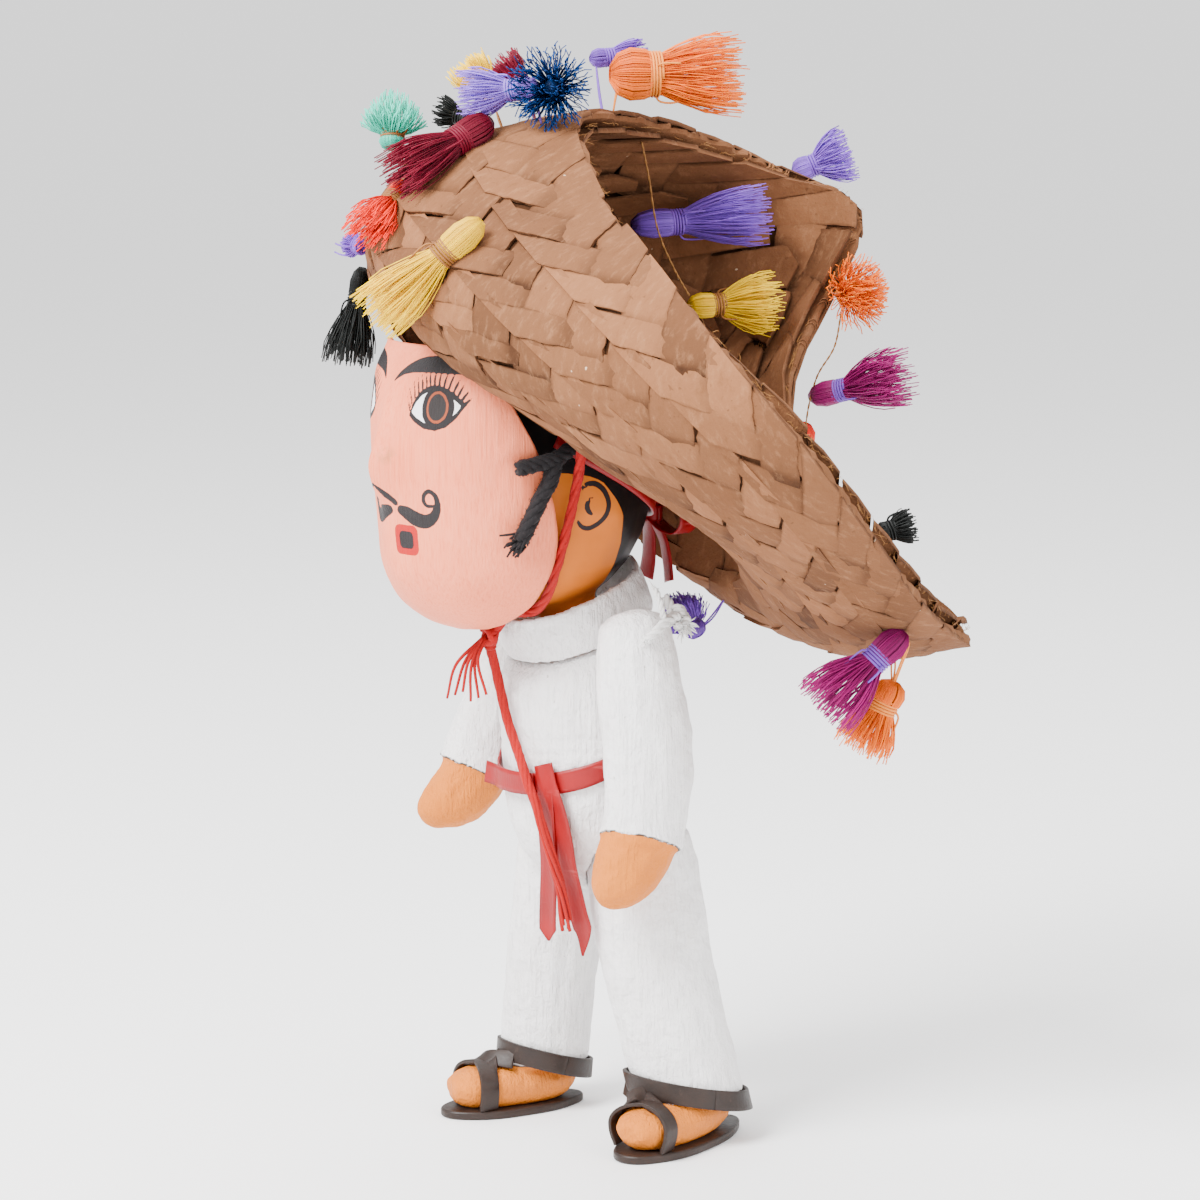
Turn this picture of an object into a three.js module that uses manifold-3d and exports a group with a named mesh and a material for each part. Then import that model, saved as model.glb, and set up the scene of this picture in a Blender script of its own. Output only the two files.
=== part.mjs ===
// Papier-mache dancer doll: painted white clothes, a separate face mask tied on with yarn,
// flat sandals, a sash, and a wide plaited hat hung with thread tassels.
// Millimetres, +Z up. The figure faces -Y and its left side is +X. Both soles stand on z = 0,
// and the origin ends under the middle of its box.
import * as THREE from 'three';
import { mergeVertices } from 'three/addons/utils/BufferGeometryUtils.js';
import Module from 'manifold-3d';

const wasm = await Module();
wasm.setup();

const v = (x, y, z) => new THREE.Vector3(x, y, z);
const TURN = Math.PI * 2;
const GAP = 0.4;                 // clearance between pieces that touch in life

// Driving dimensions of the figure
const HIP_Z = 88;                // height of the strung hips
const CUFF_Z = 15;               // where the trouser legs end
const WAIST_Z = 109;
const HEAD = { y: -14, z: 201, rx: 32.5, ry: 37, rz: 41 };
const EAR = { y: -6, z: 196, height: 2.6, spread: 8 };
const COLLAR = { y: 1, z: 154.5, tilt: 0.4 };
const SOLE = { thick: 2.6 };
const STRAP = { width: 6, thick: 1.1 };
const SASH = { width: 6.4, thick: 1.1, z: 113.5, slope: 0.2, stand: 1 };
const BAND = { width: 8, thick: 1, z: 210.7, slope: -0.55 };
const YARN = { chin: 1.5, tie: 2.3, thread: 0.3 };

// Driving dimensions of the hat, in its own frame: f forward, s to the left, h along its axis
const HAT = {
  centre: v(-0.2, -11.8, 212.3),
  forward: v(-0.610, -0.657, 0.443).normalize(),
  side: v(0.729, -0.684, -0.018),
  crown: 42,                     // height of the crown over the opening
  thick: 2.4,
  rows: 4,                       // rows of plait over the brim
  step: 1.5,                     // how far each row stands over the next one
  opening: 0.3,                  // where the head opening lies between crown top and rim
};
HAT.side.addScaledVector(HAT.forward, -HAT.side.dot(HAT.forward)).normalize();
HAT.axis = new THREE.Vector3().crossVectors(HAT.forward, HAT.side);

// Stations of the brim, from the front round by the left side to the tail and back by the right:
// the edge of the head opening, the rim, and how far the brim swells outward and down between
const BRIM = [
  { open: [57, 5, 4], rim: [30, 0, 90], swell: [56, -6] },
  { open: [47, 33, 8], rim: [6, 38, 78], swell: [40, -8] },
  { open: [25, 52, 14], rim: [-22, 74, 73], swell: [26, -12] },
  { open: [-5, 56, 16], rim: [-55, 98, 64], swell: [18, -14] },
  { open: [-34, 47, 11], rim: [-88, 94, 49], swell: [12, -16] },
  { open: [-56, 32, 7], rim: [-112, 66, 30], swell: [6, -18] },
  { open: [-72, 12, -3], rim: [-131, 26, 12], swell: [0, -20] },
  { open: [-72, -8, -13], rim: [-140, -16, 2], swell: [0, -26] },
  { open: [-60, -25, -20], rim: [-118, -44, 3], swell: [2, -30] },
  { open: [-42, -37, -23], rim: [-80, -56, 12], swell: [6, -26] },
  { open: [-18, -43, -19], rim: [-54, -68, 33], swell: [12, -16] },
  { open: [6, -42, -12], rim: [-44, -100, 89], swell: [24, -10] },
  { open: [30, -34, -5], rim: [-16, -96, 91], swell: [34, -8] },
  { open: [48, -16, 0], rim: [12, -60, 93], swell: [50, -8] },
];

// Colour and roughness of each finish
const CLOTH = [0xebe8e8, 0.75];
const SKIN = [0xdea669, 0.55];
const MASK_PINK = [0xe9b9a5, 0.6];
const LEATHER = [0x4b3c37, 0.5];
const RED_YARN = [0xeb231e, 0.8];
const RED_PAPER = [0xb92d37, 0.6];
const BLACK_YARN = [0x2e292b, 0.9];
const COTTON = [0xe8e6e1, 0.95];
const BARK = [0xb7997a, 0.85];
const THREAD = [0xb98a5a, 0.9];
const MINT = [0x7fcdbb, 0.8];
const YELLOW = [0xd9b70f, 0.8];
const MAROON = [0x7d2a45, 0.8];
const LAVENDER = [0x9d8fd0, 0.8];
const NAVY = [0x2b4f80, 0.8];
const BLACK = [0x2c2f33, 0.8];
const SCARLET = [0xdb4a2b, 0.8];
const ORANGE = [0xf2a45c, 0.8];
const PURPLE = [0x5d4494, 0.8];
const MAGENTA = [0xa8377f, 0.8];

const figure = new THREE.Group();
const hanging = [];              // free cords and what hangs on them
function place(name, geometry, [color, roughness]) {
  const mesh = new THREE.Mesh(geometry, new THREE.MeshStandardMaterial({ color, roughness }));
  mesh.name = name;
  figure.add(mesh);
  return mesh;
}

// Makes a closed geometry from points and triangles, turned so that its faces point out
function closedBody(points, faces) {
  let volume = 0;
  for (const [a, b, c] of faces) {
    volume += points[a].dot(new THREE.Vector3().crossVectors(points[b], points[c]));
  }
  const geometry = new THREE.BufferGeometry();
  const order = volume < 0 ? faces.map(([a, b, c]) => [a, c, b]) : faces;
  geometry.setAttribute('position',
    new THREE.Float32BufferAttribute(points.flatMap((p) => [p.x, p.y, p.z]), 3));
  geometry.setIndex(order.flat());
  return geometry;
}

// Skins rings of equal point count. Open rings' ends are closed by fans; loop joins last to first.
function skin(rings, loop = false) {
  const count = rings[0].length;
  const points = rings.flat();
  const faces = [];
  const spans = loop ? rings.length : rings.length - 1;
  for (let i = 0; i < spans; i += 1) {
    const j = (i + 1) % rings.length;
    for (let k = 0; k < count; k += 1) {
      const n = (k + 1) % count;
      faces.push([i * count + k, i * count + n, j * count + n]);
      faces.push([i * count + k, j * count + n, j * count + k]);
    }
  }
  if (!loop) {
    for (const [row, turn] of [[0, true], [rings.length - 1, false]]) {
      const middle = new THREE.Vector3();
      rings[row].forEach((p) => middle.addScaledVector(p, 1 / count));
      points.push(middle);
      const centre = points.length - 1;
      for (let k = 0; k < count; k += 1) {
        const n = (k + 1) % count;
        const pair = [row * count + k, row * count + n];
        faces.push(turn ? [centre, pair[1], pair[0]] : [centre, pair[0], pair[1]]);
      }
    }
  }
  return closedBody(points, faces);
}

// An oval ring of points about a centre, with two half axes given as vectors
function oval(centre, a, b, sides) {
  const ring = [];
  for (let k = 0; k < sides; k += 1) {
    const t = (k / sides) * TURN;
    ring.push(centre.clone().addScaledVector(a, Math.cos(t)).addScaledVector(b, Math.sin(t)));
  }
  return ring;
}

// A rounded limb or trunk through stations [x, y, z, rx, ry, lean], smooth between them. Its rings
// are level, leaning by their rise per millimetre of y, or square to the run of a swinging limb.
function trunk(stations, sides, steps, square = false) {
  const curve = (points) => new THREE.CatmullRomCurve3(points, false, 'centripetal');
  const path = curve(stations.map((s) => v(s[0], s[1], s[2])));
  const radii = curve(stations.map((s) => v(s[3], s[4], (s[5] || 0) * 10)));
  const rings = [];
  for (let i = 0; i <= steps; i += 1) {
    const p = path.getPoint(i / steps);
    const r = radii.getPoint(i / steps);
    const along = square ? path.getTangent(i / steps) : v(0, 0, -1);
    const back = new THREE.Vector3().crossVectors(v(1, 0, 0), along).normalize();
    const across = new THREE.Vector3().crossVectors(along, back).normalize();
    back.z += (r.z / 10) * back.y;
    across.multiplyScalar(Math.max(r.x, 0.3));
    rings.push(oval(p, across, back.multiplyScalar(Math.max(r.y, 0.3)), sides));
  }
  return skin(rings);
}

// Joins or cuts closed bodies
function toSolid(geometry) {
  const bare = new THREE.BufferGeometry();
  bare.setAttribute('position', geometry.getAttribute('position').clone());
  if (geometry.index) bare.setIndex(geometry.index.clone());
  const merged = mergeVertices(bare, 1e-4);
  return new wasm.Manifold(new wasm.Mesh({
    numProp: 3,
    vertProperties: new Float32Array(merged.attributes.position.array),
    triVerts: new Uint32Array(merged.index.array),
  }));
}

function fromSolid(solid) {
  const mesh = solid.getMesh();
  const geometry = new THREE.BufferGeometry();
  geometry.setAttribute('position', new THREE.Float32BufferAttribute(mesh.vertProperties, 3));
  geometry.setIndex(Array.from(mesh.triVerts));
  return geometry;
}

const join = (...parts) => fromSolid(parts.map(toSolid).reduce((a, b) => a.add(b)));
const cut = (whole, ...tools) => fromSolid(tools.map(toSolid)
  .reduce((a, b) => a.subtract(b), toSolid(whole)));

// A round cord along points
function cord(points, radius, sides = 8, steps = 12) {
  const shape = new THREE.Shape();
  for (let k = 0; k < sides; k += 1) {
    const t = (k / sides) * TURN;
    const x = radius * Math.cos(t);
    const y = radius * Math.sin(t);
    if (k === 0) shape.moveTo(x, y);
    else shape.lineTo(x, y);
  }
  const path = new THREE.CatmullRomCurve3(points.map((p) => v(...p)), false, 'centripetal');
  const geometry = new THREE.ExtrudeGeometry(shape, { steps, extrudePath: path, bevelEnabled: false });
  geometry.deleteAttribute('normal');
  geometry.deleteAttribute('uv');
  return mergeVertices(geometry, 1e-4);
}

// A flat strip along points, each with the way its face looks and its width
function strip(points, faces, widths, thick, loop = false) {
  const rings = points.map((p, i) => {
    const last = points.length - 1;
    const before = points[loop ? (i + last) % points.length : Math.max(i - 1, 0)];
    const after = points[loop ? (i + 1) % points.length : Math.min(i + 1, last)];
    const along = after.clone().sub(before).normalize();
    const out = faces[i].clone().addScaledVector(along, -faces[i].dot(along)).normalize();
    const across = new THREE.Vector3().crossVectors(along, out).multiplyScalar(widths[i] / 2);
    const outer = out.clone().multiplyScalar(thick);
    return [
      p.clone().sub(across), p.clone().add(across),
      p.clone().add(across).add(outer), p.clone().sub(across).add(outer),
    ];
  });
  return skin(rings, loop);
}

// A rounded knot
function lump([x, y, z], radius) {
  const geometry = new THREE.SphereGeometry(radius, 8, 5).translate(x, y, z);
  geometry.deleteAttribute('normal');
  geometry.deleteAttribute('uv');
  return mergeVertices(geometry, 1e-4);
}

// Legs with their bare feet, strung at the hips, so each is a piece of its own
const LEGS = {
  left: {
    leg: [[16, 11, 99, 7, 7], [16.5, 12, 96, 12.5, 13.5], [17.5, 12.5, HIP_Z, 14.5, 17.5],
      [20, 13.5, 70, 15, 18.3], [24, 16.8, 45, 14.8, 17.8], [27.5, 20.4, 26, 15, 17.8],
      [30, 22, CUFF_Z, 14.5, 17.5]],
    foot: [33, 17, 9.3], yaw: 0.42, length: 57, width: 24, band: [15.4, 4],
  },
  right: {
    leg: [[-15, 5, 99, 7, 7], [-15.5, 5, 96, 12, 12.5], [-16.5, 5.5, HIP_Z, 13, 15],
      [-19, 5.5, 66, 13, 15.6], [-22.5, 4.5, 45, 12.8, 15.2], [-24.5, 4, 26, 12.6, 14.8],
      [-25.5, 3.5, CUFF_Z, 12.4, 14.2]],
    foot: [-27, -7, 9.3], yaw: -0.04, length: 48, width: 22, band: [15.4, 4.4],
  },
};
const HEEL = 21.5;               // how far the foot reaches behind the sole's middle

const legTrunk = (side, grow = 0) => trunk(LEGS[side].leg.map(([x, y, z, rx, ry], i) => (
  [x, y, z + (i < 2 ? grow : 0), rx + grow, ry + grow])), 14, 8);

// Trunk with two hollows below, in which the strung legs sit
const TORSO = [
  [0, 5, 74, 6, 5], [0, 5, 77, 15, 13], [0, 4, 86, 22, 19], [0, 2.5, 97, 26, 21.5],
  [0, 0.5, WAIST_Z, 26.5, 21], [0, 0, 122, 26.5, 21.3], [0, -0.5, 137, 26, 21.8, 0.08],
  [0, 0.4, 147, 25, 21.5, 0.3], [0, 1.4, 152.4, 23.5, 20.6, 0.42],
];
place('torso', cut(trunk(TORSO, 18, 12), legTrunk('left', GAP), legTrunk('right', GAP)), CLOTH);

// Folded collar: a band with thickness, higher at the nape than at the throat
function collar() {
  const back = v(0, Math.cos(COLLAR.tilt), Math.sin(COLLAR.tilt));
  const up = v(0, -Math.sin(COLLAR.tilt), Math.cos(COLLAR.tilt));
  const section = [[-1.2, 26, 22.8], [6, 26.3, 23.2], [13.2, 24.8, 23], [13.6, 22.8, 21.4],
    [6, 22.6, 20.6], [-0.6, 22.6, 20]];
  return skin(section.map(([rise, rx, ry]) => {
    const centre = v(0, COLLAR.y, COLLAR.z).addScaledVector(up, rise);
    return oval(centre, v(rx, 0, 0), back.clone().multiplyScalar(ry), 24);
  }), true);
}
place('collar', collar(), CLOTH);

// Head: an egg with two low painted ears, on a short neck inside the collar
function earRise({ y, z }) {
  return EAR.height * Math.exp(-((y - EAR.y) ** 2 + (z - EAR.z) ** 2) / EAR.spread ** 2);
}

function headRing(level, grow, sides) {
  const fall = Math.sin(Math.PI * level);
  const z = HEAD.z - (HEAD.rz + grow) * Math.cos(Math.PI * level);
  const ring = [];
  for (let k = 0; k < sides; k += 1) {
    const a = (k / sides) * TURN;
    const p = v((HEAD.rx + grow) * fall * Math.sin(a), HEAD.y + (HEAD.ry + grow) * fall * Math.cos(a), z);
    if (Math.abs(p.x) > HEAD.rx * 0.5) p.x += Math.sign(p.x) * earRise(p);
    ring.push(p);
  }
  return ring;
}

function headBody(grow, rows, sides) {
  const rings = [];
  for (let i = 1; i < rows; i += 1) rings.push(headRing(i / rows, grow, sides));
  return skin(rings);
}
const NECK = [[0, -3, 157.5, 13, 10.5], [0, -5, 163, 13, 11], [0, -8, 170, 13, 13]];
place('head', join(headBody(0, 14, 20), trunk(NECK, 10, 2)), SKIN);

// The point where a ray from inside leaves the head's egg, standing off it
function onHead(from, way, off) {
  const squash = v(1 / (HEAD.rx + off), 1 / (HEAD.ry + off), 1 / (HEAD.rz + off));
  const start = from.clone().sub(v(0, HEAD.y, HEAD.z)).multiply(squash);
  const run = way.clone().multiply(squash);
  const a = run.dot(run);
  const b = start.dot(run);
  const reach = (-b + Math.sqrt(b * b - a * (start.dot(start) - 1))) / a;
  return from.clone().addScaledVector(way, reach);
}

// Mask: an oval shell whose profile carries the forehead, the nose and the chin
const MASK = {
  z: [156.5, 160, 166, 175, 184, 193, 200, 206, 213, 224, 234, 241],
  half: [7, 17, 25, 30.5, 33, 34.6, 35, 35.3, 35, 33.6, 30.5, 25],
  back: [-33, -31, -28, -25.5, -24.5, -26, -28, -30, -33, -39, -44, -48],
  front: [-40, -49.5, -56.5, -61, -62, -62, -62.5, -63, -63, -61.5, -58.5, -53.5],
  nose: [0, 0, 0, 0.4, 0.6, 1.5, 4.6, 5.6, 3.6, 1.2, 0.2, 0],
};

function maskShell() {
  const across = 16;
  const rings = MASK.z.map((z, i) => {
    const ring = [];
    for (let k = 0; k <= across; k += 1) {
      const a = (k / across - 0.5) * Math.PI;
      const x = MASK.half[i] * Math.sin(a);
      const reach = MASK.back[i] - MASK.front[i];
      const nose = MASK.nose[i] * Math.exp(-((x / 5) ** 2));
      ring.push(v(x, MASK.back[i] - reach * Math.cos(a) ** 0.9 - nose, z));
    }
    return ring;
  });
  return cut(skin(rings), headBody(1.9, 11, 16));
}
place('mask', maskShell(), MASK_PINK);

// Lifts a foot's own frame, toe to -Y, to its place
function footFrame({ foot, yaw }) {
  const frame = new THREE.Object3D();
  frame.position.set(...foot);
  frame.rotation.z = yaw;
  frame.updateMatrixWorld(true);
  return frame.matrixWorld;
}

// A point on the foot's rounded surface: run from toe 0 to heel 1, a turning from the outer side up
function onFoot({ length, width }, run, a, off) {
  const toe = length / 2 - 1.5;
  const y = (HEEL - toe) / 2 - ((HEEL + toe) / 2) * Math.cos(run * Math.PI);
  const fall = Math.sin(run * Math.PI) ** 0.75;
  const height = Math.sin(a) > 0 ? 6.4 : 6;
  return v((width / 2 - 0.6) * fall * Math.cos(a) + off * Math.cos(a), y,
    height * Math.sin(a) * fall + off * Math.sin(a));
}

function footBody(side) {
  const rings = [];
  for (let i = 1; i < 9; i += 1) {
    const ring = [];
    for (let k = 0; k < 12; k += 1) ring.push(onFoot(LEGS[side], i / 9, (k / 12) * TURN, 0));
    rings.push(ring);
  }
  return skin(rings).applyMatrix4(footFrame(LEGS[side]));
}

for (const side of ['left', 'right']) {
  place(`${side}_leg`, join(legTrunk(side), footBody(side)), CLOTH);
}

// Sandals: a flat sole, a band round the ankle and a strap over the instep, fixed to the sole
function soleBody(side) {
  const { foot, length, width } = LEGS[side];
  const frame = footFrame(LEGS[side]);
  const edge = (z) => {
    const ring = [];
    for (let k = 0; k < 20; k += 1) {
      const a = (k / 20) * TURN;
      const x = (width / 2) * Math.sin(a) * (1 - 0.12 * Math.cos(a));
      ring.push(v(x, (length / 2) * Math.cos(a), z - foot[2]).applyMatrix4(frame));
    }
    return ring;
  };
  return skin([edge(0), edge(SOLE.thick)]);
}

function ankleStrap(side) {
  const { leg, band } = LEGS[side];
  const [above, cuff] = leg.slice(-2).map(([x, y, z]) => v(x, y, z));
  const axis = cuff.clone().sub(above).normalize();
  const [, , , rx, ry] = leg[leg.length - 1];
  const points = [];
  const faces = [];
  for (let k = 0; k < 18; k += 1) {
    const a = (k / 18) * TURN;
    const out = v(Math.cos(a), Math.sin(a), 0);
    const z = band[0] - band[1] * out.y;
    const middle = cuff.clone().addScaledVector(axis, (z - cuff.z) / axis.z);
    points.push(middle.add(v((rx + 2 * GAP) * out.x, (ry + 2 * GAP) * out.y, 0)));
    faces.push(out.addScaledVector(axis, -out.dot(axis)));
  }
  return strip(points, faces, points.map(() => STRAP.width), STRAP.thick, true);
}

// The strap climbs from the sole's edge to the front of the ankle and down the other side
function toeStrap(side) {
  const { leg } = LEGS[side];
  const ankle = leg[leg.length - 1];
  const frame = footFrame(LEGS[side]);
  const turned = new THREE.Matrix4().extractRotation(frame);
  const front = v(ankle[0], ankle[1] - ankle[4] - 6.6, 0).applyMatrix4(frame.clone().invert()).y;
  const toe = LEGS[side].length / 2 - 1.5;
  const points = [];
  const faces = [];
  for (let k = 0; k <= 12; k += 1) {
    const a = -0.5 + (k / 12) * (Math.PI + 1);
    const y = front - 2.5 * Math.abs(Math.cos(a));
    const run = Math.acos(((HEEL - toe) / 2 - y) / ((HEEL + toe) / 2)) / Math.PI;
    points.push(onFoot(LEGS[side], run, a, 2 * GAP).applyMatrix4(frame));
    faces.push(v(Math.cos(a), 0, Math.sin(a)).applyMatrix4(turned));
  }
  return strip(points, faces, points.map(() => STRAP.width), STRAP.thick);
}

for (const side of ['left', 'right']) {
  place(`${side}_sole`, soleBody(side), LEATHER);
  place(`${side}_ankle_strap`, ankleStrap(side), LEATHER);
  place(`${side}_toe_strap`, toeStrap(side), LEATHER);
}

// Arms with their hands, strung at the shoulders. The sleeve ends in a step over the hand.
const ARMS = {
  left: {
    sleeve: [[36, -0.5, 163.5, 3, 3], [36.5, -0.6, 161.5, 8, 9], [37.5, -1, 155, 10.6, 12],
      [39, -0.4, 140, 11, 13.5], [40, 2, 122, 11, 14.4], [40.5, 1, 105, 10.6, 13.6],
      [41, -1.4, 95, 10.4, 12.8]],
    hand: [[41, -0.8, 97, 9.2, 11.4], [41, -4.5, 90, 9, 11.8], [41, -9, 84, 7.8, 9.6],
      [41, -13, 79.5, 4.6, 6], [41, -14.5, 77.5, 1, 1.5]],
  },
  right: {
    sleeve: [[-36, 8, 163, 3, 3], [-36.3, 7.4, 161, 8, 8], [-37.5, 6, 154, 10.4, 11],
      [-38.5, 2.5, 141, 10.6, 12.6], [-39.5, -3, 126, 10.6, 13.2], [-40, -8, 114, 10.3, 13.4],
      [-40.5, -12, 105, 10, 13.2]],
    hand: [[-40.5, -11, 107, 8.8, 11.4], [-40.6, -16, 99.5, 8.8, 11], [-40.8, -23, 95.5, 8, 9],
      [-41, -30, 93, 4.4, 5.4], [-41, -32, 92.4, 1, 1.5]],
  },
};
for (const side of ['left', 'right']) {
  const { sleeve, hand } = ARMS[side];
  place(`${side}_arm`, join(trunk(sleeve, 12, 8, true), trunk(hand, 10, 6, true)), CLOTH);
}

// Sash: a band round the waist, lower in front, with two tails cut to points
function sashBelt() {
  const points = [];
  const faces = [];
  for (let k = 0; k < 24; k += 1) {
    const a = (k / 24) * TURN;
    const out = v(Math.cos(a), Math.sin(a), 0);
    const stand = SASH.stand * Math.exp(-(((a - 1.45 * Math.PI) / 0.4) ** 2));
    const p = v((26.6 + GAP + stand) * out.x, 0.4 + (21.2 + GAP + stand) * out.y, 0);
    p.z = SASH.z + SASH.slope * p.y;
    points.push(p);
    faces.push(out);
  }
  return strip(points, faces, points.map(() => SASH.width), SASH.thick, true);
}

function sashTail(points, look) {
  const widths = points.map((p, i) => (i === points.length - 1 ? 0.6 : SASH.width));
  return strip(points.map((p) => v(...p)), points.map(() => look), widths, SASH.thick);
}
const OVER = [[14.6, -18.9, 116], [16.2, -18.1, 110], [18.2, -16.5, 102.8], [19.5, -15.1, 94.4],
  [18.7, -13.2, 85.3], [18, -10.9, 77.9], [18.1, -8.9, 70.7], [18.9, -7.4, 64.5], [18.6, -7.6, 57.5]];
const UNDER = [[14.4, -18.2, 108], [14.6, -17.4, 96.2], [12.5, -16, 87.2], [9.2, -14.3, 76.7],
  [7, -12.9, 66], [7, -12.6, 60.5]];
place('sash', join(sashBelt(), sashTail(OVER, v(0.42, -0.9, 0)), sashTail(UNDER, v(0.3, -0.95, 0))),
  RED_PAPER);

// Red yarn that holds the hat: a strand down each side of the head to a knot at the throat
const CHIN_KNOT = [1.5, -29.8, 153.6];
const CHIN = [[41.6, -19.5, 220], [41.6, -21, 214], [38.4, -18.4, 205.5], [35, -17.6, 196.7],
  [31.4, -18.8, 185.6], [26.8, -20.4, 175.4], [20.6, -20.9, 167.6], [12.8, -21.4, 161.8],
  [7.4, -25.8, 160.6], [2.2, -29.5, 154.4]];
const mirrored = CHIN.map(([x, y, z], i) => [i === CHIN.length - 1 ? -x / 3 : -x, y, z]);
place('chin_yarn', join(cord(CHIN, YARN.chin, 8, 12), cord(mirrored, YARN.chin, 8, 12),
  lump(CHIN_KNOT, 3.1)), RED_YARN);

// The yarn's long end hangs from the knot, over the sash
const CHIN_TAIL = [[0.4, -29.2, 149.9], [-0.4, -27.5, 145.3], [-1, -25, 136.4], [1, -23.8, 127.7],
  [5.2, -23.4, 121], [8.4, -23.4, 116.7], [13.1, -23.4, 109.9], [16, -22.6, 104.9],
  [17.5, -21.8, 99.7], [18.7, -20.1, 92.8], [19.6, -18, 85.7], [19.4, -15.8, 78.4],
  [18.8, -13.6, 66]];
place('chin_tail', cord(CHIN_TAIL, YARN.chin, 8, 16), RED_YARN);
hanging.push('chin_tail');

// Black yarn that ties the mask on, from its edge on each side round the back of the head
function tieBack(turn) {
  return onHead(v(0, HEAD.y, 211.5), v(Math.sin(turn), Math.cos(turn), 0.02), 4.9).toArray();
}
const TIE_FRONT = [[36.9, -39.8, 207], [37.9, -33.3, 208.3], [38.2, -27.5, 209.5]];
const tieRound = [1.75, 1.35, 0.9, 0.45, 0, -0.45, -0.9, -1.35, -1.75].map(tieBack);
const TIE_END = [[38.2, -28, 209], [38.2, -30, 203], [37.4, -33, 197.3], [36.3, -35.6, 191.2],
  [34.9, -37.6, 186.3]];
place('mask_tie', join(
  cord([...TIE_FRONT, ...tieRound, ...TIE_FRONT.map(([x, y, z]) => [-x, y, z]).reverse()],
    YARN.tie, 8, 20),
  cord(TIE_END, YARN.tie * 0.8, 8, 6)), BLACK_YARN);

// Headband: a strip from temple to temple round the nape, with a bow behind
function headband() {
  const points = [];
  const faces = [];
  for (let k = 0; k <= 16; k += 1) {
    const a = (k / 8 - 1) * 1.85;
    const way = v(Math.sin(a), Math.cos(a), BAND.slope * Math.cos(a));
    const from = v(0, HEAD.y, BAND.z);
    const p = onHead(from, way, 2 * GAP + earRise(onHead(from, way, 0)));
    points.push(p);
    faces.push(v(p.x / HEAD.rx ** 2, (p.y - HEAD.y) / HEAD.ry ** 2, (p.z - HEAD.z) / HEAD.rz ** 2)
      .normalize());
  }
  return strip(points, faces, points.map(() => BAND.width), BAND.thick);
}
place('headband', headband(), RED_PAPER);

function bowLoop(side) {
  const run = [[0.5, 25.6, 187, 1.6, 2.2], [5, 27, 187.4, 2, 5], [10, 28.4, 186.4, 2.3, 6.4],
    [14.5, 29.6, 184.6, 1, 3.4]];
  return skin(run.map(([x, y, z, deep, tall]) => oval(v(side * x, y, z),
    v(-0.3 * side * deep, 0.95 * deep, 0), v(0, 0, tall), 8)));
}

function bowEnd(side) {
  const run = [[side * 1, 25.2, 186], [side * 4, 27.6, 179], [side * 5.5, 28, 172],
    [side * 6.5, 28.4, 167]];
  return strip(run.map((p) => v(...p)), run.map(() => v(0, 1, 0.2)), run.map(() => 5), 0.9);
}
place('headband_bow', join(lump([0, 25.8, 187], 3), bowLoop(1), bowLoop(-1), bowEnd(1), bowEnd(-1)),
  RED_PAPER);

// The hat's surface. turn goes once round from the front by the left side; out goes from 0 at the
// crown's top over the head opening to 1 at the rim.
const closed = (points) => new THREE.CatmullRomCurve3(points.map((p) => v(...p)), true, 'centripetal');
const openCurve = closed(BRIM.map((b) => b.open));
const rimCurve = closed(BRIM.map((b) => b.rim));
const swellCurve = closed(BRIM.map((b) => [...b.swell, 0]));

function hatLocal(turn, out) {
  const open = openCurve.getPoint(turn);
  if (out <= HAT.opening) {
    const t = out / HAT.opening;
    const spread = Math.sin(t * Math.PI / 2) ** 0.7;
    const rise = HAT.crown * Math.cos(t * Math.PI / 2) ** 0.7;
    return v(-6 + (open.x + 6) * spread, 6 + (open.y - 6) * spread, open.z * t + rise);
  }
  const t = (out - HAT.opening) / (1 - HAT.opening);
  const rim = rimCurve.getPoint(turn);
  const swell = swellCurve.getPoint(turn);
  const away = v(open.x + 6, open.y - 6, 0).normalize().multiplyScalar(swell.x);
  const middle = open.clone().add(rim).multiplyScalar(0.5).add(away);
  middle.z += swell.y;
  return open.clone().multiplyScalar((1 - t) ** 2)
    .addScaledVector(middle, 2 * t * (1 - t))
    .addScaledVector(rim, t * t);
}

function hatToWorld([f, s, h]) {
  return HAT.centre.clone().addScaledVector(HAT.forward, f)
    .addScaledVector(HAT.side, s).addScaledVector(HAT.axis, h);
}

function hatBody() {
  const around = BRIM.length * 2;
  const crownRows = 4;
  const brimRows = HAT.rows * 2;
  const outs = [];
  for (let i = 1; i <= crownRows; i += 1) outs.push((i / crownRows) * HAT.opening);
  for (let i = 1; i <= brimRows; i += 1) outs.push(HAT.opening + (i / brimRows) * (1 - HAT.opening));
  const upper = [];
  const lower = [];
  outs.forEach((out, i) => {
    const top = [];
    const under = [];
    const row = i - crownRows;
    const proud = row >= 0 && row % 2 === 1 ? HAT.step : 0;
    for (let k = 0; k < around; k += 1) {
      const turn = k / around;
      const e = 1e-3;
      const p = hatLocal(turn, out);
      const du = hatLocal(turn + e, out).sub(hatLocal(turn - e, out));
      const dv = hatLocal(turn, Math.min(out + e, 1)).sub(hatLocal(turn, out - e));
      const n = new THREE.Vector3().crossVectors(dv, du).normalize();
      top.push(hatToWorld(p.toArray()));
      under.push(hatToWorld(p.addScaledVector(n, HAT.thick + proud).toArray()));
    }
    upper.push(top);
    lower.push(under);
  });
  return skin([...upper, ...lower.reverse()]);
}
place('hat', hatBody(), BARK);

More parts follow.
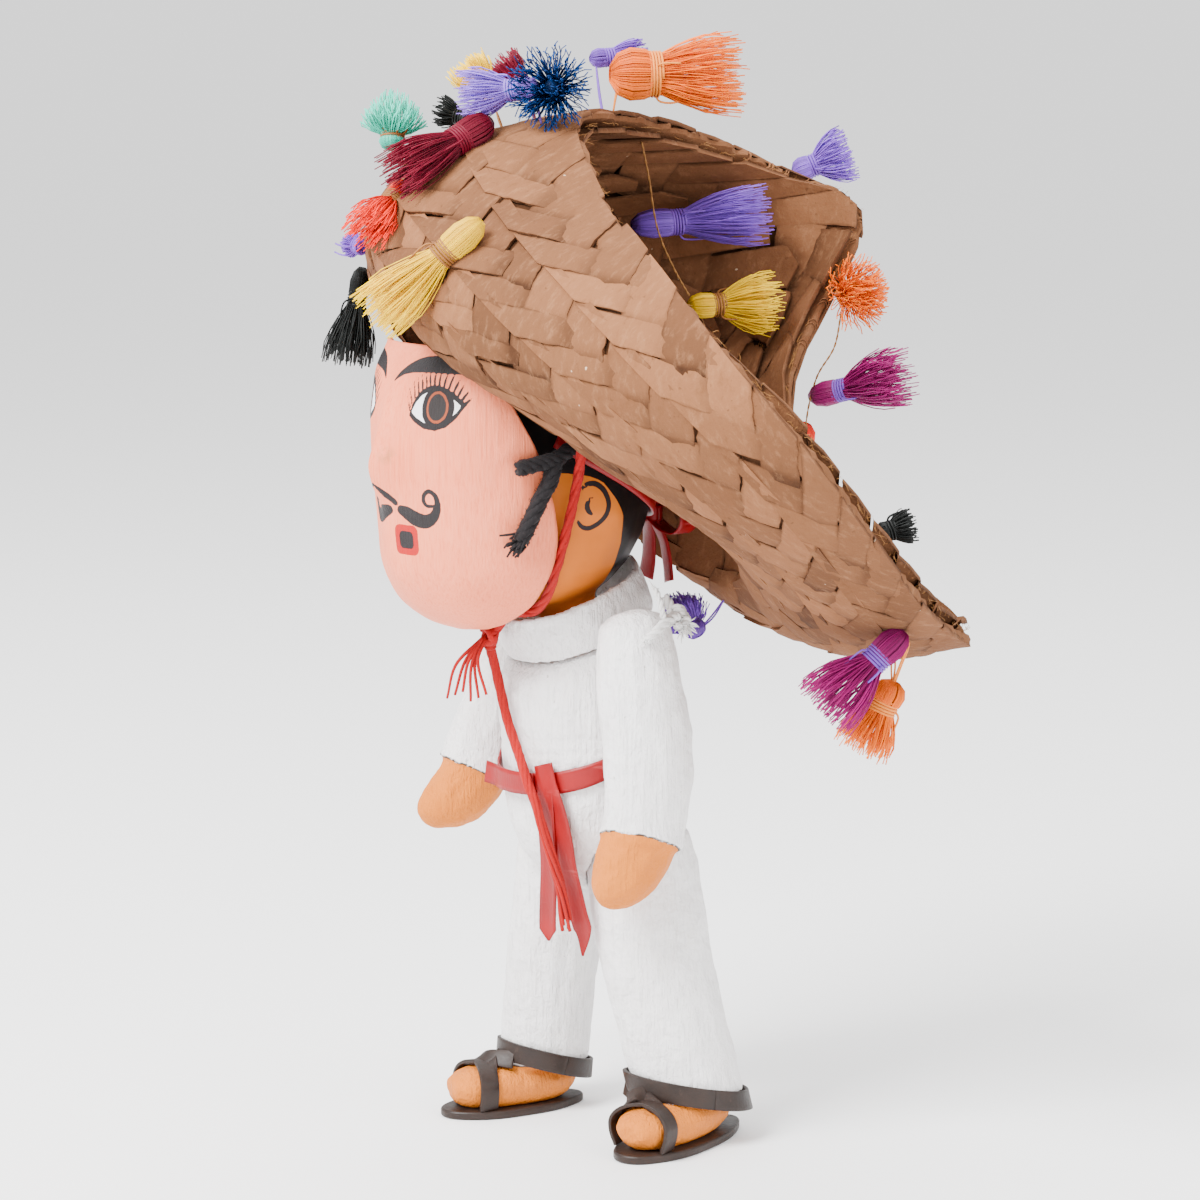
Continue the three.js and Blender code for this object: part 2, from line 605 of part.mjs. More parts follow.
// A tassel: a bound head with a waist, and a skirt of threads that opens to its end
function tassel(head, tip, neck, bloom) {
  const along = tip.clone().sub(head);
  const a = new THREE.Vector3().crossVectors(along, v(0, 0, 1)).normalize();
  const b = new THREE.Vector3().crossVectors(along, a).normalize();
  const profile = [[0, 0.5 * neck], [0.1, neck], [0.24, neck], [0.34, 0.75 * neck],
    [0.66, 0.25 * neck + 0.6 * bloom], [1, bloom]];
  return skin(profile.map(([run, radius]) => oval(head.clone().addScaledVector(along, run),
    a.clone().multiplyScalar(radius), b.clone().multiplyScalar(radius), 6)));
}

// Each tassel in the hat's frame: its head, the end of its skirt, and the radius of both
const TASSELS = {
  tassel_mint: [[78, -2, 56], [85, -6, 69], 4, 10, MINT],
  tassel_yellow_top: [[59, -18, 79], [73, -18, 86], 3, 7, YELLOW],
  tassel_maroon_top: [[55, -34, 85], [67, -36, 89], 3, 6, MAROON],
  tassel_lavender: [[45, 6, 92], [64, 6, 80], 3.5, 8, LAVENDER],
  tassel_navy: [[41, -1, 93.5], [39, 21, 96], 4, 13, NAVY],
  tassel_black_top: [[66, -26, 70], [76, -28, 68], 2.5, 5, BLACK],
  tassel_maroon: [[53, 9, 76], [66, 31, 53], 5, 9, MAROON],
  tassel_scarlet: [[65, 17, 50], [66, 36, 36], 3.5, 8, SCARLET],
  tassel_yellow: [[33, 55, 56], [48, 60, 20], 4.5, 9.5, YELLOW],
  tassel_purple_front: [[70, 14, 28], [76, 10, 26], 2.5, 4, PURPLE],
  tassel_black: [[71, -5, 17], [63, -3, -9], 3, 8, BLACK],
  tassel_orange: [[30, -24, 103], [-1, -37, 118], 8, 12, ORANGE],
  tassel_purple_top: [[45, -54, 100], [33, -62, 107], 3, 5, PURPLE],
  tassel_purple_far: [[-18, -114, 90], [-30, -118, 103], 4, 9, PURPLE],
  tassel_purple_bowl: [[11, -62, 60], [-21, -79, 78], 4.5, 10, PURPLE],
  tassel_yellow_bowl: [[-15, -62, 45], [-36, -75, 56], 4, 10, YELLOW],
  tassel_orange_corner: [[-52, -88, 66], [-60, -80, 72], 4, 13, ORANGE],
  tassel_magenta_side: [[-59, -84, 34], [-82, -78, 54], 4, 10, MAGENTA],
  tassel_black_back: [[-107, 43, 30], [-114, 39, 36], 3, 5, BLACK],
  tassel_magenta_tail: [[-124, 24, 2], [-114, 32, -26], 4.5, 10, MAGENTA],
  tassel_orange_tail: [[-128, 14, -14], [-128, 16, -35], 5, 9, ORANGE],
  tassel_purple_nape: [[-66, -22, -36], [-54, -28, -32], 3.5, 8, PURPLE],
  tassel_mint_far: [[-16, -106, 76], [-14, -112, 44], 4.5, 9, MINT],
  tassel_yellow_far: [[20, -86, 62], [26, -90, 32], 4.5, 9, YELLOW],
  tassel_scarlet_far: [[-60, -88, 22], [-62, -90, -8], 4.5, 9, SCARLET],
};
for (const [name, [head, tip, neck, bloom, finish]] of Object.entries(TASSELS)) {
  place(name, tassel(hatToWorld(head), hatToWorld(tip), neck, bloom), finish);
}

// Frayed cotton ends of the cords on which the arms are strung
place('left_shoulder_cotton', tassel(v(33.5, 12.8, 164), v(42, 17, 153.6), 2.4, 4.2), COTTON);
place('right_shoulder_cotton', tassel(v(-33.5, 19.4, 163.6), v(-42, 22.6, 153.2), 2.4, 4.2), COTTON);

// Threads inside the hat and at its far corner, with tassels tied on
const THREADS = {
  thread_bowl: [[18.5, -43.5, 85.5], [13, -50, 76], [4, -54.5, 62], [-6, -56.5, 53], [-13, -58, 48]],
  thread_side: [[-54, -88, 60], [-57, -86, 50], [-56.5, -84, 40], [-59, -80, 30], [-64, -76, 18]],
};
for (const [name, points] of Object.entries(THREADS)) {
  place(name, cord(points.map((p) => hatToWorld(p).toArray()), YARN.thread, 8, 10), THREAD);
  hanging.push(name);
}

hanging.push('tassel_purple_bowl', 'tassel_yellow_bowl', 'tassel_magenta_side');

// Brings the origin under the middle of the box of all that doesn't hang on a cord
const box = new THREE.Box3();
for (const mesh of figure.children) {
  if (!hanging.includes(mesh.name)) box.expandByObject(mesh);
}
figure.position.set(-(box.min.x + box.max.x) / 2, -(box.min.y + box.max.y) / 2, -box.min.z);

export default figure;
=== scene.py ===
"""Papier-mache dancer doll: painted body, tied mask, plaited bark hat and thread tassels."""

import math

import bpy
import numpy as np
from bpy.props import FloatProperty, FloatVectorProperty, IntProperty, PointerProperty
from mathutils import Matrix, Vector
from mathutils import noise as mnoise


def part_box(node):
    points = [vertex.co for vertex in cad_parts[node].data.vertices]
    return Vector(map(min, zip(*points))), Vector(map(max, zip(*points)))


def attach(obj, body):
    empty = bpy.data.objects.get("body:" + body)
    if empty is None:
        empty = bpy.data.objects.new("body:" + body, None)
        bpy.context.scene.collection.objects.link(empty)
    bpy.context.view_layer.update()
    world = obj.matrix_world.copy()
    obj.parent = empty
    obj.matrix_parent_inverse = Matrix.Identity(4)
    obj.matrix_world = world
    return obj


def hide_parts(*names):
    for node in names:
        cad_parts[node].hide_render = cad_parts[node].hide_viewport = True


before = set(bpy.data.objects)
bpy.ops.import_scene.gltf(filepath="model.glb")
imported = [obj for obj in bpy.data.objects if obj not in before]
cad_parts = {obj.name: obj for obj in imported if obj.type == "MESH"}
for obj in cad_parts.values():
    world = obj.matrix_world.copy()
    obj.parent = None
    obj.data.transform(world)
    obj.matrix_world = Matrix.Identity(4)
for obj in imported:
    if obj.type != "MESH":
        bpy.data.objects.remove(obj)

bl_info = {
    "name": "Papier-mache dancer",
    "version": (1, 0, 0),
    "blender": (4, 5, 0),
    "location": "View3D > Sidebar > Dancer",
    "description": "Builds the painted doll, its mask, its plaited hat and its tassels",
    "category": "Object",
}

BODY = "root"
MM = 0.001
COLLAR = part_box("collar")
COLLAR_FRONT = -25.3
# From the maker's millimetres, with the body's middle at zero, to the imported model's own frame
SHIFT = np.array([500 * (COLLAR[0][0] + COLLAR[1][0]), 1000 * COLLAR[0][1] - COLLAR_FRONT, 0.0])


def at(point):
    """Points in millimetres from the doll's middle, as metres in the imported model's frame."""
    return (np.asarray(point, float) + SHIFT) * MM


# Sizes of the doll, millimetres

HEAD = {"y": -14.0, "z": 201.0, "rx": 32.5, "ry": 37.0, "rz": 41.0}
EAR = {"y": -6.0, "z": 196.0, "height": 2.6, "spread": 8.0}
HAT_CENTRE = np.array([-0.2, -11.8, 212.3])
HAT_FORWARD = np.array([-0.610, -0.657, 0.443])
HAT_FORWARD = HAT_FORWARD / np.linalg.norm(HAT_FORWARD)
HAT_SIDE = np.array([0.729, -0.684, -0.018])
HAT_SIDE = HAT_SIDE - HAT_FORWARD * HAT_SIDE.dot(HAT_FORWARD)
HAT_SIDE = HAT_SIDE / np.linalg.norm(HAT_SIDE)
HAT_AXIS = np.cross(HAT_FORWARD, HAT_SIDE)
HAT_CROWN = 42.0
CROWN_TOP = (-6.0, 6.0)
HAT_OPENING = 0.3
HAT_THICK = 2.4

# Edge of the head opening, rim, and swell between them, from the front round by the left side
BRIM_OPEN = [
    (57, 5, 12), (47, 33, 20), (25, 52, 18), (-5, 56, 16), (-34, 47, 11), (-56, 32, 7), (-72, 12, -3),
    (-72, -8, -13), (-60, -25, -20), (-42, -37, -23), (-18, -43, -19), (6, -42, -12), (30, -34, -5),
    (48, -16, 0),
]
BRIM_RIM = [
    (30, 0, 90), (6, 38, 78), (-22, 74, 73), (-55, 98, 64), (-88, 94, 49), (-112, 66, 30),
    (-131, 26, 12), (-140, -16, 2), (-118, -44, 3), (-80, -56, 12), (-54, -68, 33), (-44, -100, 89),
    (-16, -96, 91), (12, -60, 93),
]
BRIM_SWELL = [
    (56, -6), (40, -8), (26, -12), (18, -14), (12, -16), (6, -18), (0, -20), (0, -26), (2, -30),
    (6, -26), (12, -16), (24, -10), (34, -8), (50, -8),
]

CHIN_TAIL = [
    (0.4, -29.2, 149.9), (-0.4, -27.5, 145.3), (-1, -25, 136.4), (1, -23.8, 127.7), (5.2, -23.4, 121),
    (8.4, -23.4, 116.7), (13.1, -23.4, 109.9), (16, -22.6, 104.9), (17.5, -21.8, 99.7),
    (18.7, -20.1, 92.8), (19.6, -18, 85.7), (19.4, -15.8, 78.4), (18.8, -13.6, 66),
]
THREAD_BOWL = [(18.5, -43.5, 85.5), (13, -50, 76), (4, -54.5, 62), (-6, -56.5, 53), (-13, -58, 48)]
THREAD_SIDE = [(-54, -88, 60), (-57, -86, 50), (-56.5, -84, 40), (-59, -80, 30), (-64, -76, 18)]
CHIN_KNOT = (1.5, -29.8, 153.6)
CHIN = [
    (41.6, -19.5, 220), (41.6, -21, 214), (38.6, -20.6, 205.5), (35.8, -20.8, 196.7),
    (32.4, -21.8, 185.6), (27.8, -22.4, 175.4), (20.6, -20.9, 167.6), (12.8, -21.4, 161.8),
    (7.4, -25.8, 160.6), (2.2, -29.5, 154.4),
]
TIE_FRONT = [(36.9, -39.8, 207), (37.9, -33.3, 208.3), (38.2, -27.5, 209.5)]
TIE_END = [(38.2, -28, 209), (38.2, -30, 203), (37.4, -33, 197.3), (36.3, -35.6, 191.2),
           (34.9, -37.6, 186.3)]
SASH_OVER = [
    (14.6, -18.9, 116), (16.2, -18.1, 110), (18.2, -16.5, 102.8), (19.5, -15.1, 94.4),
    (18.7, -13.2, 85.3), (18, -10.9, 77.9), (18.1, -8.9, 70.7), (18.9, -7.4, 64.5), (18.6, -7.6, 57.5),
]
SASH_UNDER = [(14.4, -18.2, 108), (14.6, -17.4, 96.2), (12.5, -16, 87.2), (9.2, -14.3, 76.7),
              (7, -12.9, 66), (7, -12.6, 60.5)]

# Tassels in the hat's frame: head, tip, radius at the binding, radius of the bloom, colour
TASSELS = {
    "tassel_mint": ((78, -2, 56), (85, -6, 69), 4, 10, "mint"),
    "tassel_yellow_top": ((59, -18, 79), (73, -18, 86), 3, 7, "yellow"),
    "tassel_maroon_top": ((55, -34, 85), (67, -36, 89), 3, 6, "maroon"),
    "tassel_lavender": ((45, 6, 92), (64, 6, 80), 3.5, 8, "lavender"),
    "tassel_navy": ((41, -1, 93.5), (39, 21, 96), 4, 13, "navy"),
    "tassel_black_top": ((66, -26, 70), (76, -28, 68), 2.5, 5, "black"),
    "tassel_maroon": ((53, 9, 76), (66, 31, 53), 5, 9, "maroon"),
    "tassel_scarlet": ((65, 17, 50), (66, 36, 36), 3.5, 8, "scarlet"),
    "tassel_yellow": ((33, 55, 56), (48, 60, 20), 4.5, 9.5, "yellow"),
    "tassel_purple_front": ((70, 14, 28), (76, 10, 26), 2.5, 4, "purple"),
    "tassel_black": ((71, -5, 17), (63, -3, -9), 3, 8, "black"),
    "tassel_orange": ((30, -24, 103), (-1, -37, 118), 8, 12, "orange"),
    "tassel_purple_top": ((45, -54, 100), (33, -62, 107), 3, 5, "purple"),
    "tassel_purple_far": ((-18, -114, 90), (-30, -118, 103), 4, 9, "purple"),
    "tassel_purple_bowl": ((11, -62, 60), (-21, -79, 78), 4.5, 10, "purple"),
    "tassel_yellow_bowl": ((-15, -62, 45), (-36, -75, 56), 4, 10, "yellow"),
    "tassel_orange_corner": ((-52, -88, 66), (-60, -80, 72), 4, 13, "orange"),
    "tassel_magenta_side": ((-59, -84, 34), (-82, -78, 54), 4, 10, "magenta"),
    "tassel_black_back": ((-107, 43, 30), (-114, 39, 36), 3, 5, "black"),
    "tassel_magenta_tail": ((-124, 24, 2), (-114, 32, -26), 4.5, 10, "magenta"),
    "tassel_orange_tail": ((-128, 14, -14), (-128, 16, -35), 5, 9, "orange"),
    "tassel_purple_nape": ((-66, -22, -36), (-54, -28, -32), 3.5, 8, "purple"),
    "tassel_mint_far": ((-16, -106, 76), (-14, -112, 44), 4.5, 9, "mint"),
    "tassel_yellow_far": ((20, -86, 62), (26, -90, 32), 4.5, 9, "yellow"),
    "tassel_scarlet_far": ((-60, -88, 22), (-62, -90, -8), 4.5, 9, "scarlet"),
}
CORD_TASSELS = ("tassel_purple_bowl", "tassel_yellow_bowl", "tassel_magenta_side")
# The binding's colour where it isn't the tassel's own, and how far off the hat a tassel needs a tie
BINDING = {"yellow": "tan", "orange": "apricot", "scarlet": "tan", "mint": "tan", "magenta": "purple"}
TIED_BEYOND = 2.0


# Curves and meshes

def flow(points, t, closed=False):
    """The place at t, from 0 to 1, on a smooth curve through the points."""
    pts = np.asarray(points, float)
    n = len(pts)
    span = n if closed else n - 1
    place = (t % 1.0) * span if closed else min(max(t, 0.0), 1.0) * span
    i = min(int(place), span - 1)
    w = place - i
    if closed:
        p0, p1, p2, p3 = (pts[(i + k) % n] for k in (-1, 0, 1, 2))
    else:
        p1, p2 = pts[i], pts[i + 1]
        p0 = pts[i - 1] if i > 0 else 2 * p1 - p2
        p3 = pts[i + 2] if i + 2 < n else 2 * p2 - p1
    d0, d1, d2 = (max(float(np.sum((b - a) ** 2)) ** 0.25, 1e-4)
                  for a, b in ((p0, p1), (p1, p2), (p2, p3)))
    m1 = ((p1 - p0) / d0 - (p2 - p0) / (d0 + d1) + (p2 - p1) / d1) * d1
    m2 = ((p2 - p1) / d1 - (p3 - p1) / (d1 + d2) + (p3 - p2) / d2) * d1
    a = -3 * p1 + 3 * p2 - 2 * m1 - m2
    b = 2 * p1 - 2 * p2 + m1 + m2
    return p1 + m1 * w + a * w * w + b * w ** 3


def path_of(points, steps, closed=False):
    """Evenly numbered places along the smooth curve through the points."""
    last = steps if closed else steps - 1
    return np.array([flow(points, k / last, closed) for k in range(steps)])


def unit(v):
    """Directions of length one."""
    return v / np.maximum(np.linalg.norm(v, axis=-1, keepdims=True), 1e-9)


def frames_along(path, hint=(0.3, 0.2, 0.93)):
    """Tangent and two sideways directions at each point of a path, carried along without twist."""
    tangent = unit(np.gradient(path, axis=0))
    side = np.empty_like(path)
    first = np.cross(tangent[0], hint)
    side[0] = first / np.linalg.norm(first)
    for k in range(1, len(path)):
        s = side[k - 1] - tangent[k] * side[k - 1].dot(tangent[k])
        side[k] = s / np.linalg.norm(s)
    return tangent, side, np.cross(tangent, side)


def clear_selection():
    bpy.ops.object.select_all(action="DESELECT")


def pick(piece):
    """Makes a piece the only selected object and the active one."""
    clear_selection()
    piece.select_set(True)
    bpy.context.view_layer.objects.active = piece


def in_edit_mode(piece, *calls):
    """Calls edit mode operators on all of a piece."""
    pick(piece)
    bpy.ops.object.mode_set(mode="EDIT")
    bpy.ops.mesh.select_all(action="SELECT")
    for call, values in calls:
        call(**values)
    bpy.ops.object.mode_set(mode="OBJECT")


OUTWARD = (bpy.ops.mesh.normals_make_consistent, {"inside": False})


def apply_modifier(piece, kind, **values):
    """Adds a modifier with its values and applies it."""
    pick(piece)
    bpy.ops.object.modifier_add(type=kind)
    modifier = piece.modifiers[-1]
    for key, value in values.items():
        setattr(modifier, key, value)
    bpy.ops.object.modifier_apply(modifier=modifier.name)


def from_faces(name, points, faces, shade):
    """A piece from points in millimetres and its faces, with a number for each point's own shade."""
    mesh = bpy.data.meshes.new(name)
    mesh.from_pydata([tuple(p) for p in at(points)], [], faces)
    mesh.attributes.new("shade", "FLOAT", "POINT").data.foreach_set(
        "value", np.asarray(shade, np.float32))
    mesh.polygons.foreach_set("use_smooth", np.ones(len(mesh.polygons), bool))
    mesh.update()
    piece = bpy.data.objects.new(name, mesh)
    bpy.context.collection.objects.link(piece)
    return piece


class Heap:
    """Tubes, leaves and lumps gathered into the one mesh of a piece."""

    def __init__(self):
        self.points, self.faces, self.shade, self.kind, self.count = [], [], [], [], 0

    def add(self, points, faces, shade=0.5, kind=0):
        points = np.asarray(points, float).reshape(-1, 3)
        self.points.append(points)
        base = self.count
        self.faces.extend([tuple(base + i for i in f) for f in faces])
        self.kind.extend([kind] * len(faces))
        self.shade.append(np.broadcast_to(np.asarray(shade, float), (len(points),)))
        self.count += len(points)

    def tube(self, path, radius, sides=6, shade=0.5, kind=0, flat=1.0, hint=(0.3, 0.2, 0.93)):
        path = np.asarray(path, float)
        n = len(path)
        _, side, up = frames_along(path, hint)
        radius = np.broadcast_to(np.asarray(radius, float), (n,))
        rings = []
        for k in range(sides):
            a = 2 * math.pi * k / sides
            rings.append(path + (math.cos(a) * side + flat * math.sin(a) * up) * radius[:, None])
        pts = np.stack(rings, 1).reshape(-1, 3)
        faces = [(i * sides + k, i * sides + (k + 1) % sides, (i + 1) * sides + (k + 1) % sides,
                  (i + 1) * sides + k) for i in range(n - 1) for k in range(sides)]
        faces.append(tuple(range(sides))[::-1])
        faces.append(tuple((n - 1) * sides + k for k in range(sides)))
        self.add(pts, faces, shade, kind)

    def rings(self, rows, shade=0.5, kind=0):
        """A closed skin over rings of equally many points."""
        m = len(rows[0])
        faces = [(i * m + k, i * m + (k + 1) % m, (i + 1) * m + (k + 1) % m, (i + 1) * m + k)
                 for i in range(len(rows) - 1) for k in range(m)]
        faces.append(tuple(range(m))[::-1])
        faces.append(tuple((len(rows) - 1) * m + k for k in range(m)))
        self.add(np.array(rows).reshape(-1, 3), faces, shade, kind)

    def loop(self, rows, shade=0.5, kind=0):
        """A ring-shaped skin whose last ring meets its first."""
        n, m = len(rows), len(rows[0])
        faces = [(i * m + k, i * m + (k + 1) % m, (i + 1) % n * m + (k + 1) % m, (i + 1) % n * m + k)
                 for i in range(n) for k in range(m)]
        self.add(np.array(rows).reshape(-1, 3), faces, shade, kind)

    def piece(self, name, *finishes, outward=True):
        """The piece that the heap makes; its faces are turned outward where they are closed skins."""
        made = from_faces(name, np.concatenate(self.points), self.faces, np.concatenate(self.shade))
        for finish in finishes:
            made.data.materials.append(look_of(finish))
        made.data.polygons.foreach_set("material_index", np.array(self.kind, np.int32))
        if outward:
            in_edit_mode(made, OUTWARD)
        pick(made)
        return made


def plies(heap, path, radius, count, turns, sides=6, seed=0, kind=0):
    """Yarn laid from several plies round the path, each a little rough."""
    rng = np.random.default_rng(seed)
    _, side, up = frames_along(path)
    along = np.linspace(0, 1, len(path))
    ply = radius * (0.62 if count == 2 else 0.56)
    for k in range(count):
        a = 2 * math.pi * (k / count + turns * along)
        off = (radius - ply * 0.9)
        line = path + off * (np.cos(a)[:, None] * side + np.sin(a)[:, None] * up)
        rough = 1 + 0.05 * rng.standard_normal(len(path))
        heap.tube(line, ply * rough, sides, 0.35 + 0.3 * rng.random(), kind)


def fuzz(heap, path, radius, count, reach, seed, thick=0.06, kind=0):
    """Loose fibres that stand off a yarn."""
    rng = np.random.default_rng(seed)
    _, side, up = frames_along(path)
    tangent = unit(np.gradient(path, axis=0))
    for _ in range(count):
        i = rng.integers(0, len(path))
        a = rng.random() * 2 * math.pi
        out = math.cos(a) * side[i] + math.sin(a) * up[i]
        root = path[i] + out * radius * 0.8
        lean = tangent[i] * (rng.random() * 2 - 1) * reach
        tip = root + out * reach * (0.3 + rng.random()) + lean
        heap.tube([root, (root + tip) / 2 + out * 0.15 * reach, tip], [thick, thick, thick * 0.4], 3,
                  rng.random(), kind)


def ribbon(heap, path, faces_out, widths, thick, across=5, shade=0.5, kind=0, curl=0.0):
    """A bent strip with two faces and cut edges; curl lifts its edges."""
    path = np.asarray(path, float)
    tangent = unit(np.gradient(path, axis=0))
    out = unit(np.asarray(faces_out, float) - tangent * np.sum(
        tangent * np.asarray(faces_out, float), axis=1, keepdims=True))
    side = np.cross(tangent, out)
    widths = np.broadcast_to(np.asarray(widths, float), (len(path),))
    rows = []
    for i in range(len(path)):
        ring = []
        for face, order in ((1, range(across + 1)), (-1, range(across, -1, -1))):
            for k in order:
                s = 2 * k / across - 1
                lift = curl * s * s
                ring.append(path[i] + side[i] * s * widths[i] / 2
                            + out[i] * (face * thick / 2 + lift))
        rows.append(ring)
    heap.rings(rows, shade, kind)


def solid_copy(node, name, voxel, rounds):
    """A fine, evenly meshed copy of a node's own solid, with its facets softened."""
    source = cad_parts[node]
    mesh = source.data.copy()
    mesh.name = name
    mesh.materials.clear()
    piece = bpy.data.objects.new(name, mesh)
    bpy.context.collection.objects.link(piece)
    piece.matrix_world = source.matrix_world.copy()
    pick(piece)
    bpy.ops.object.transform_apply(location=True, rotation=True, scale=True)
    in_edit_mode(piece, (bpy.ops.mesh.remove_doubles, {"threshold": 0.01 * MM}))
    apply_modifier(piece, "REMESH", mode="VOXEL", voxel_size=voxel * MM)
    apply_modifier(piece, "SMOOTH", factor=0.5, iterations=rounds)
    bpy.ops.object.shade_smooth()
    return piece


def coords(piece):
    """The piece's points in the maker's millimetres."""
    flat = np.empty(len(piece.data.vertices) * 3)
    piece.data.vertices.foreach_get("co", flat)
    return flat.reshape(-1, 3) / MM - SHIFT


def normals(piece):
    """The way that each of the piece's points faces."""
    flat = np.empty(len(piece.data.vertices) * 3)
    piece.data.vertices.foreach_get("normal", flat)
    return flat.reshape(-1, 3)


def move_to(piece, points):
    """Moves the piece's points to places in the maker's millimetres."""
    piece.data.vertices.foreach_set("co", at(points).ravel())
    piece.data.update()


def paint(piece, **fields):
    """Stores a painted shape as distances in millimetres from its edge, negative inside."""
    for name, values in fields.items():
        piece.data.attributes.new(name, "FLOAT", "POINT").data.foreach_set(
            "value", np.asarray(values, np.float32))


def ripple(points, scale, seed, octaves=3):
    """Smooth irregularity between about -1 and 1 over the points."""
    off = Vector((seed * 7.3, seed * 3.1, seed * 5.7))
    return np.array([mnoise.fractal(Vector(p) / scale + off, 0.6, 2.1, octaves) for p in points])


def settle(piece, slot, *nodes):
    """Fixes a finished piece to the body, and lets it stand for its CAD nodes."""
    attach(piece, BODY)
    if nodes:
        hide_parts(*nodes)
    return piece


# Materials

class Look:
    """Short calls for a material's nodes."""

    def __init__(self, name, **sockets):
        self.material = bpy.data.materials.new(name)
        self.material.use_nodes = True
        self.nodes = self.material.node_tree.nodes
        self.links = self.material.node_tree.links
        self.shader = self.nodes["Principled BSDF"]
        for key, value in sockets.items():
            socket = key.replace("_", " ").title().replace("Ior", "IOR")
            self.shader.inputs[socket].default_value = value
        self.place = self.nodes.new("ShaderNodeTexCoord").outputs["Object"]

    def node(self, kind, **inputs):
        made = self.nodes.new(kind)
        for key, value in inputs.items():
            socket = made.inputs[key] if key in made.inputs else made.inputs[int(key[1:])]
            if isinstance(value, bpy.types.NodeSocket):
                self.links.new(value, socket)
            else:
                socket.default_value = value
        return made

    def stretched(self, scale, turn=(0, 0, 0)):
        return self.node("ShaderNodeMapping", Vector=self.place, Scale=scale, Rotation=turn).outputs[0]

    def noise(self, scale, detail=4.0, rough=0.55, vector=None):
        made = self.node("ShaderNodeTexNoise", Scale=scale, Detail=detail, Roughness=rough,
                         Vector=vector or self.place)
        return made.outputs["Fac"]

    def attribute(self, name):
        made = self.nodes.new("ShaderNodeAttribute")
        made.attribute_name = name
        return made.outputs["Fac"]

    def math(self, operation, a, b=0.0):
        made = self.nodes.new("ShaderNodeMath")
        made.operation = operation
        for socket, value in zip(made.inputs, (a, b)):
            if isinstance(value, bpy.types.NodeSocket):
                self.links.new(value, socket)
            else:
                socket.default_value = value
        return made.outputs[0]

    def times(self, a, b):
        return self.math("MULTIPLY", a, b)

    def span(self, value, low, high, to_low=0.0, to_high=1.0):
        return self.node("ShaderNodeMapRange", Value=value, **{
            "From Min": low, "From Max": high, "To Min": to_low, "To Max": to_high}).outputs["Result"]

    def mix(self, fac, a, b, kind="MIX"):
        made = self.nodes.new("ShaderNodeMix")
        made.data_type = "RGBA"
        made.blend_type = kind
        for socket, value in ((made.inputs[0], fac), (made.inputs[6], a), (made.inputs[7], b)):
            if isinstance(value, bpy.types.NodeSocket):
                self.links.new(value, socket)
            elif isinstance(value, tuple):
                socket.default_value = (*value, 1.0)[:4]
            else:
                socket.default_value = value
        return made.outputs[2]

    def colour(self, value):
        self.links.new(value, self.shader.inputs["Base Color"])

    def rough(self, value):
        self.links.new(value, self.shader.inputs["Roughness"])

    def bump(self, height, strength, distance):
        made = self.node("ShaderNodeBump", Height=height, Strength=strength, Distance=distance)
        self.links.new(made.outputs[0], self.shader.inputs["Normal"])


def dye(name):
    """A colour from the panel."""
    return tuple(getattr(bpy.context.scene.dyes, name))


def white_paint():
    """Brushed white paint over paper, with smudges, specks and a painted shade line in the cracks at
    the cuffs.
    """
    look = Look("white_paint", specular_ior_level=0.25)
    strokes = look.noise(1.0, 5, 0.6, look.stretched((900, 900, 90)))
    broad = look.noise(55, 4)
    smudge = look.span(look.noise(38, 5, 0.62), 0.62, 0.76)
    specks = look.span(look.noise(420, 2, 0.5), 0.735, 0.76)
    base = look.mix(look.span(broad, 0.35, 0.7), dye("paint_dull"), dye("paint"))
    base = look.mix(look.times(smudge, 0.28), base, (0.56, 0.50, 0.44))
    base = look.mix(look.times(specks, 0.45), base, (0.22, 0.17, 0.13))
    base = look.mix(look.times(look.span(strokes, 0.50, 0.30), 0.35), base,
                    (0.60, 0.56, 0.555))
    # Painted shade: a dark broken line along the edge field stands for the shade in the crack where a
    # sleeve or trouser hem meets the skin
    gap = look.span(look.attribute("edge"), 0.62, 0.25)
    base = look.mix(look.times(gap, look.span(look.noise(260, 2), 0.36, 0.46)), base,
                    (0.045, 0.026, 0.016))
    skin = look.span(look.attribute("skin"), 0.06, -0.06)
    tone = look.mix(look.noise(90, 5, 0.6), dye("skin_deep"), dye("skin"))
    look.colour(look.mix(skin, base, tone))
    look.rough(look.span(broad, 0.3, 0.7, 0.5, 0.72))
    crumple = look.math("ADD", look.times(strokes, 0.55), look.noise(170, 5, 0.6))
    look.bump(crumple, 1.0, 0.0020)
    return look.material


def head_paint():
    """Ochre paint with glossy black hair and a drawn ear."""
    look = Look("head_paint", specular_ior_level=0.14)
    tone = look.mix(look.noise(70, 5, 0.6), (0.47, 0.115, 0.008), (0.62, 0.160, 0.014))
    hair = look.span(look.attribute("hair"), 0.05, -0.05)
    black = look.mix(look.noise(300, 3), (0.004, 0.003, 0.003), (0.010, 0.007, 0.007))
    scuff = look.span(look.noise(130, 5, 0.7, look.stretched((1, 1, 0.4))), 0.70, 0.78)
    black = look.mix(look.times(scuff, 0.25), black, (0.25, 0.22, 0.2))
    base = look.mix(hair, tone, black)
    base = look.mix(look.span(look.attribute("ink"), 0.05, -0.05), base, (0.016, 0.011, 0.012))
    look.colour(base)
    look.rough(look.span(hair, 0, 1, 0.55, 0.42))
    look.bump(look.noise(160, 5, 0.6), 0.35, 0.0004)
    return look.material


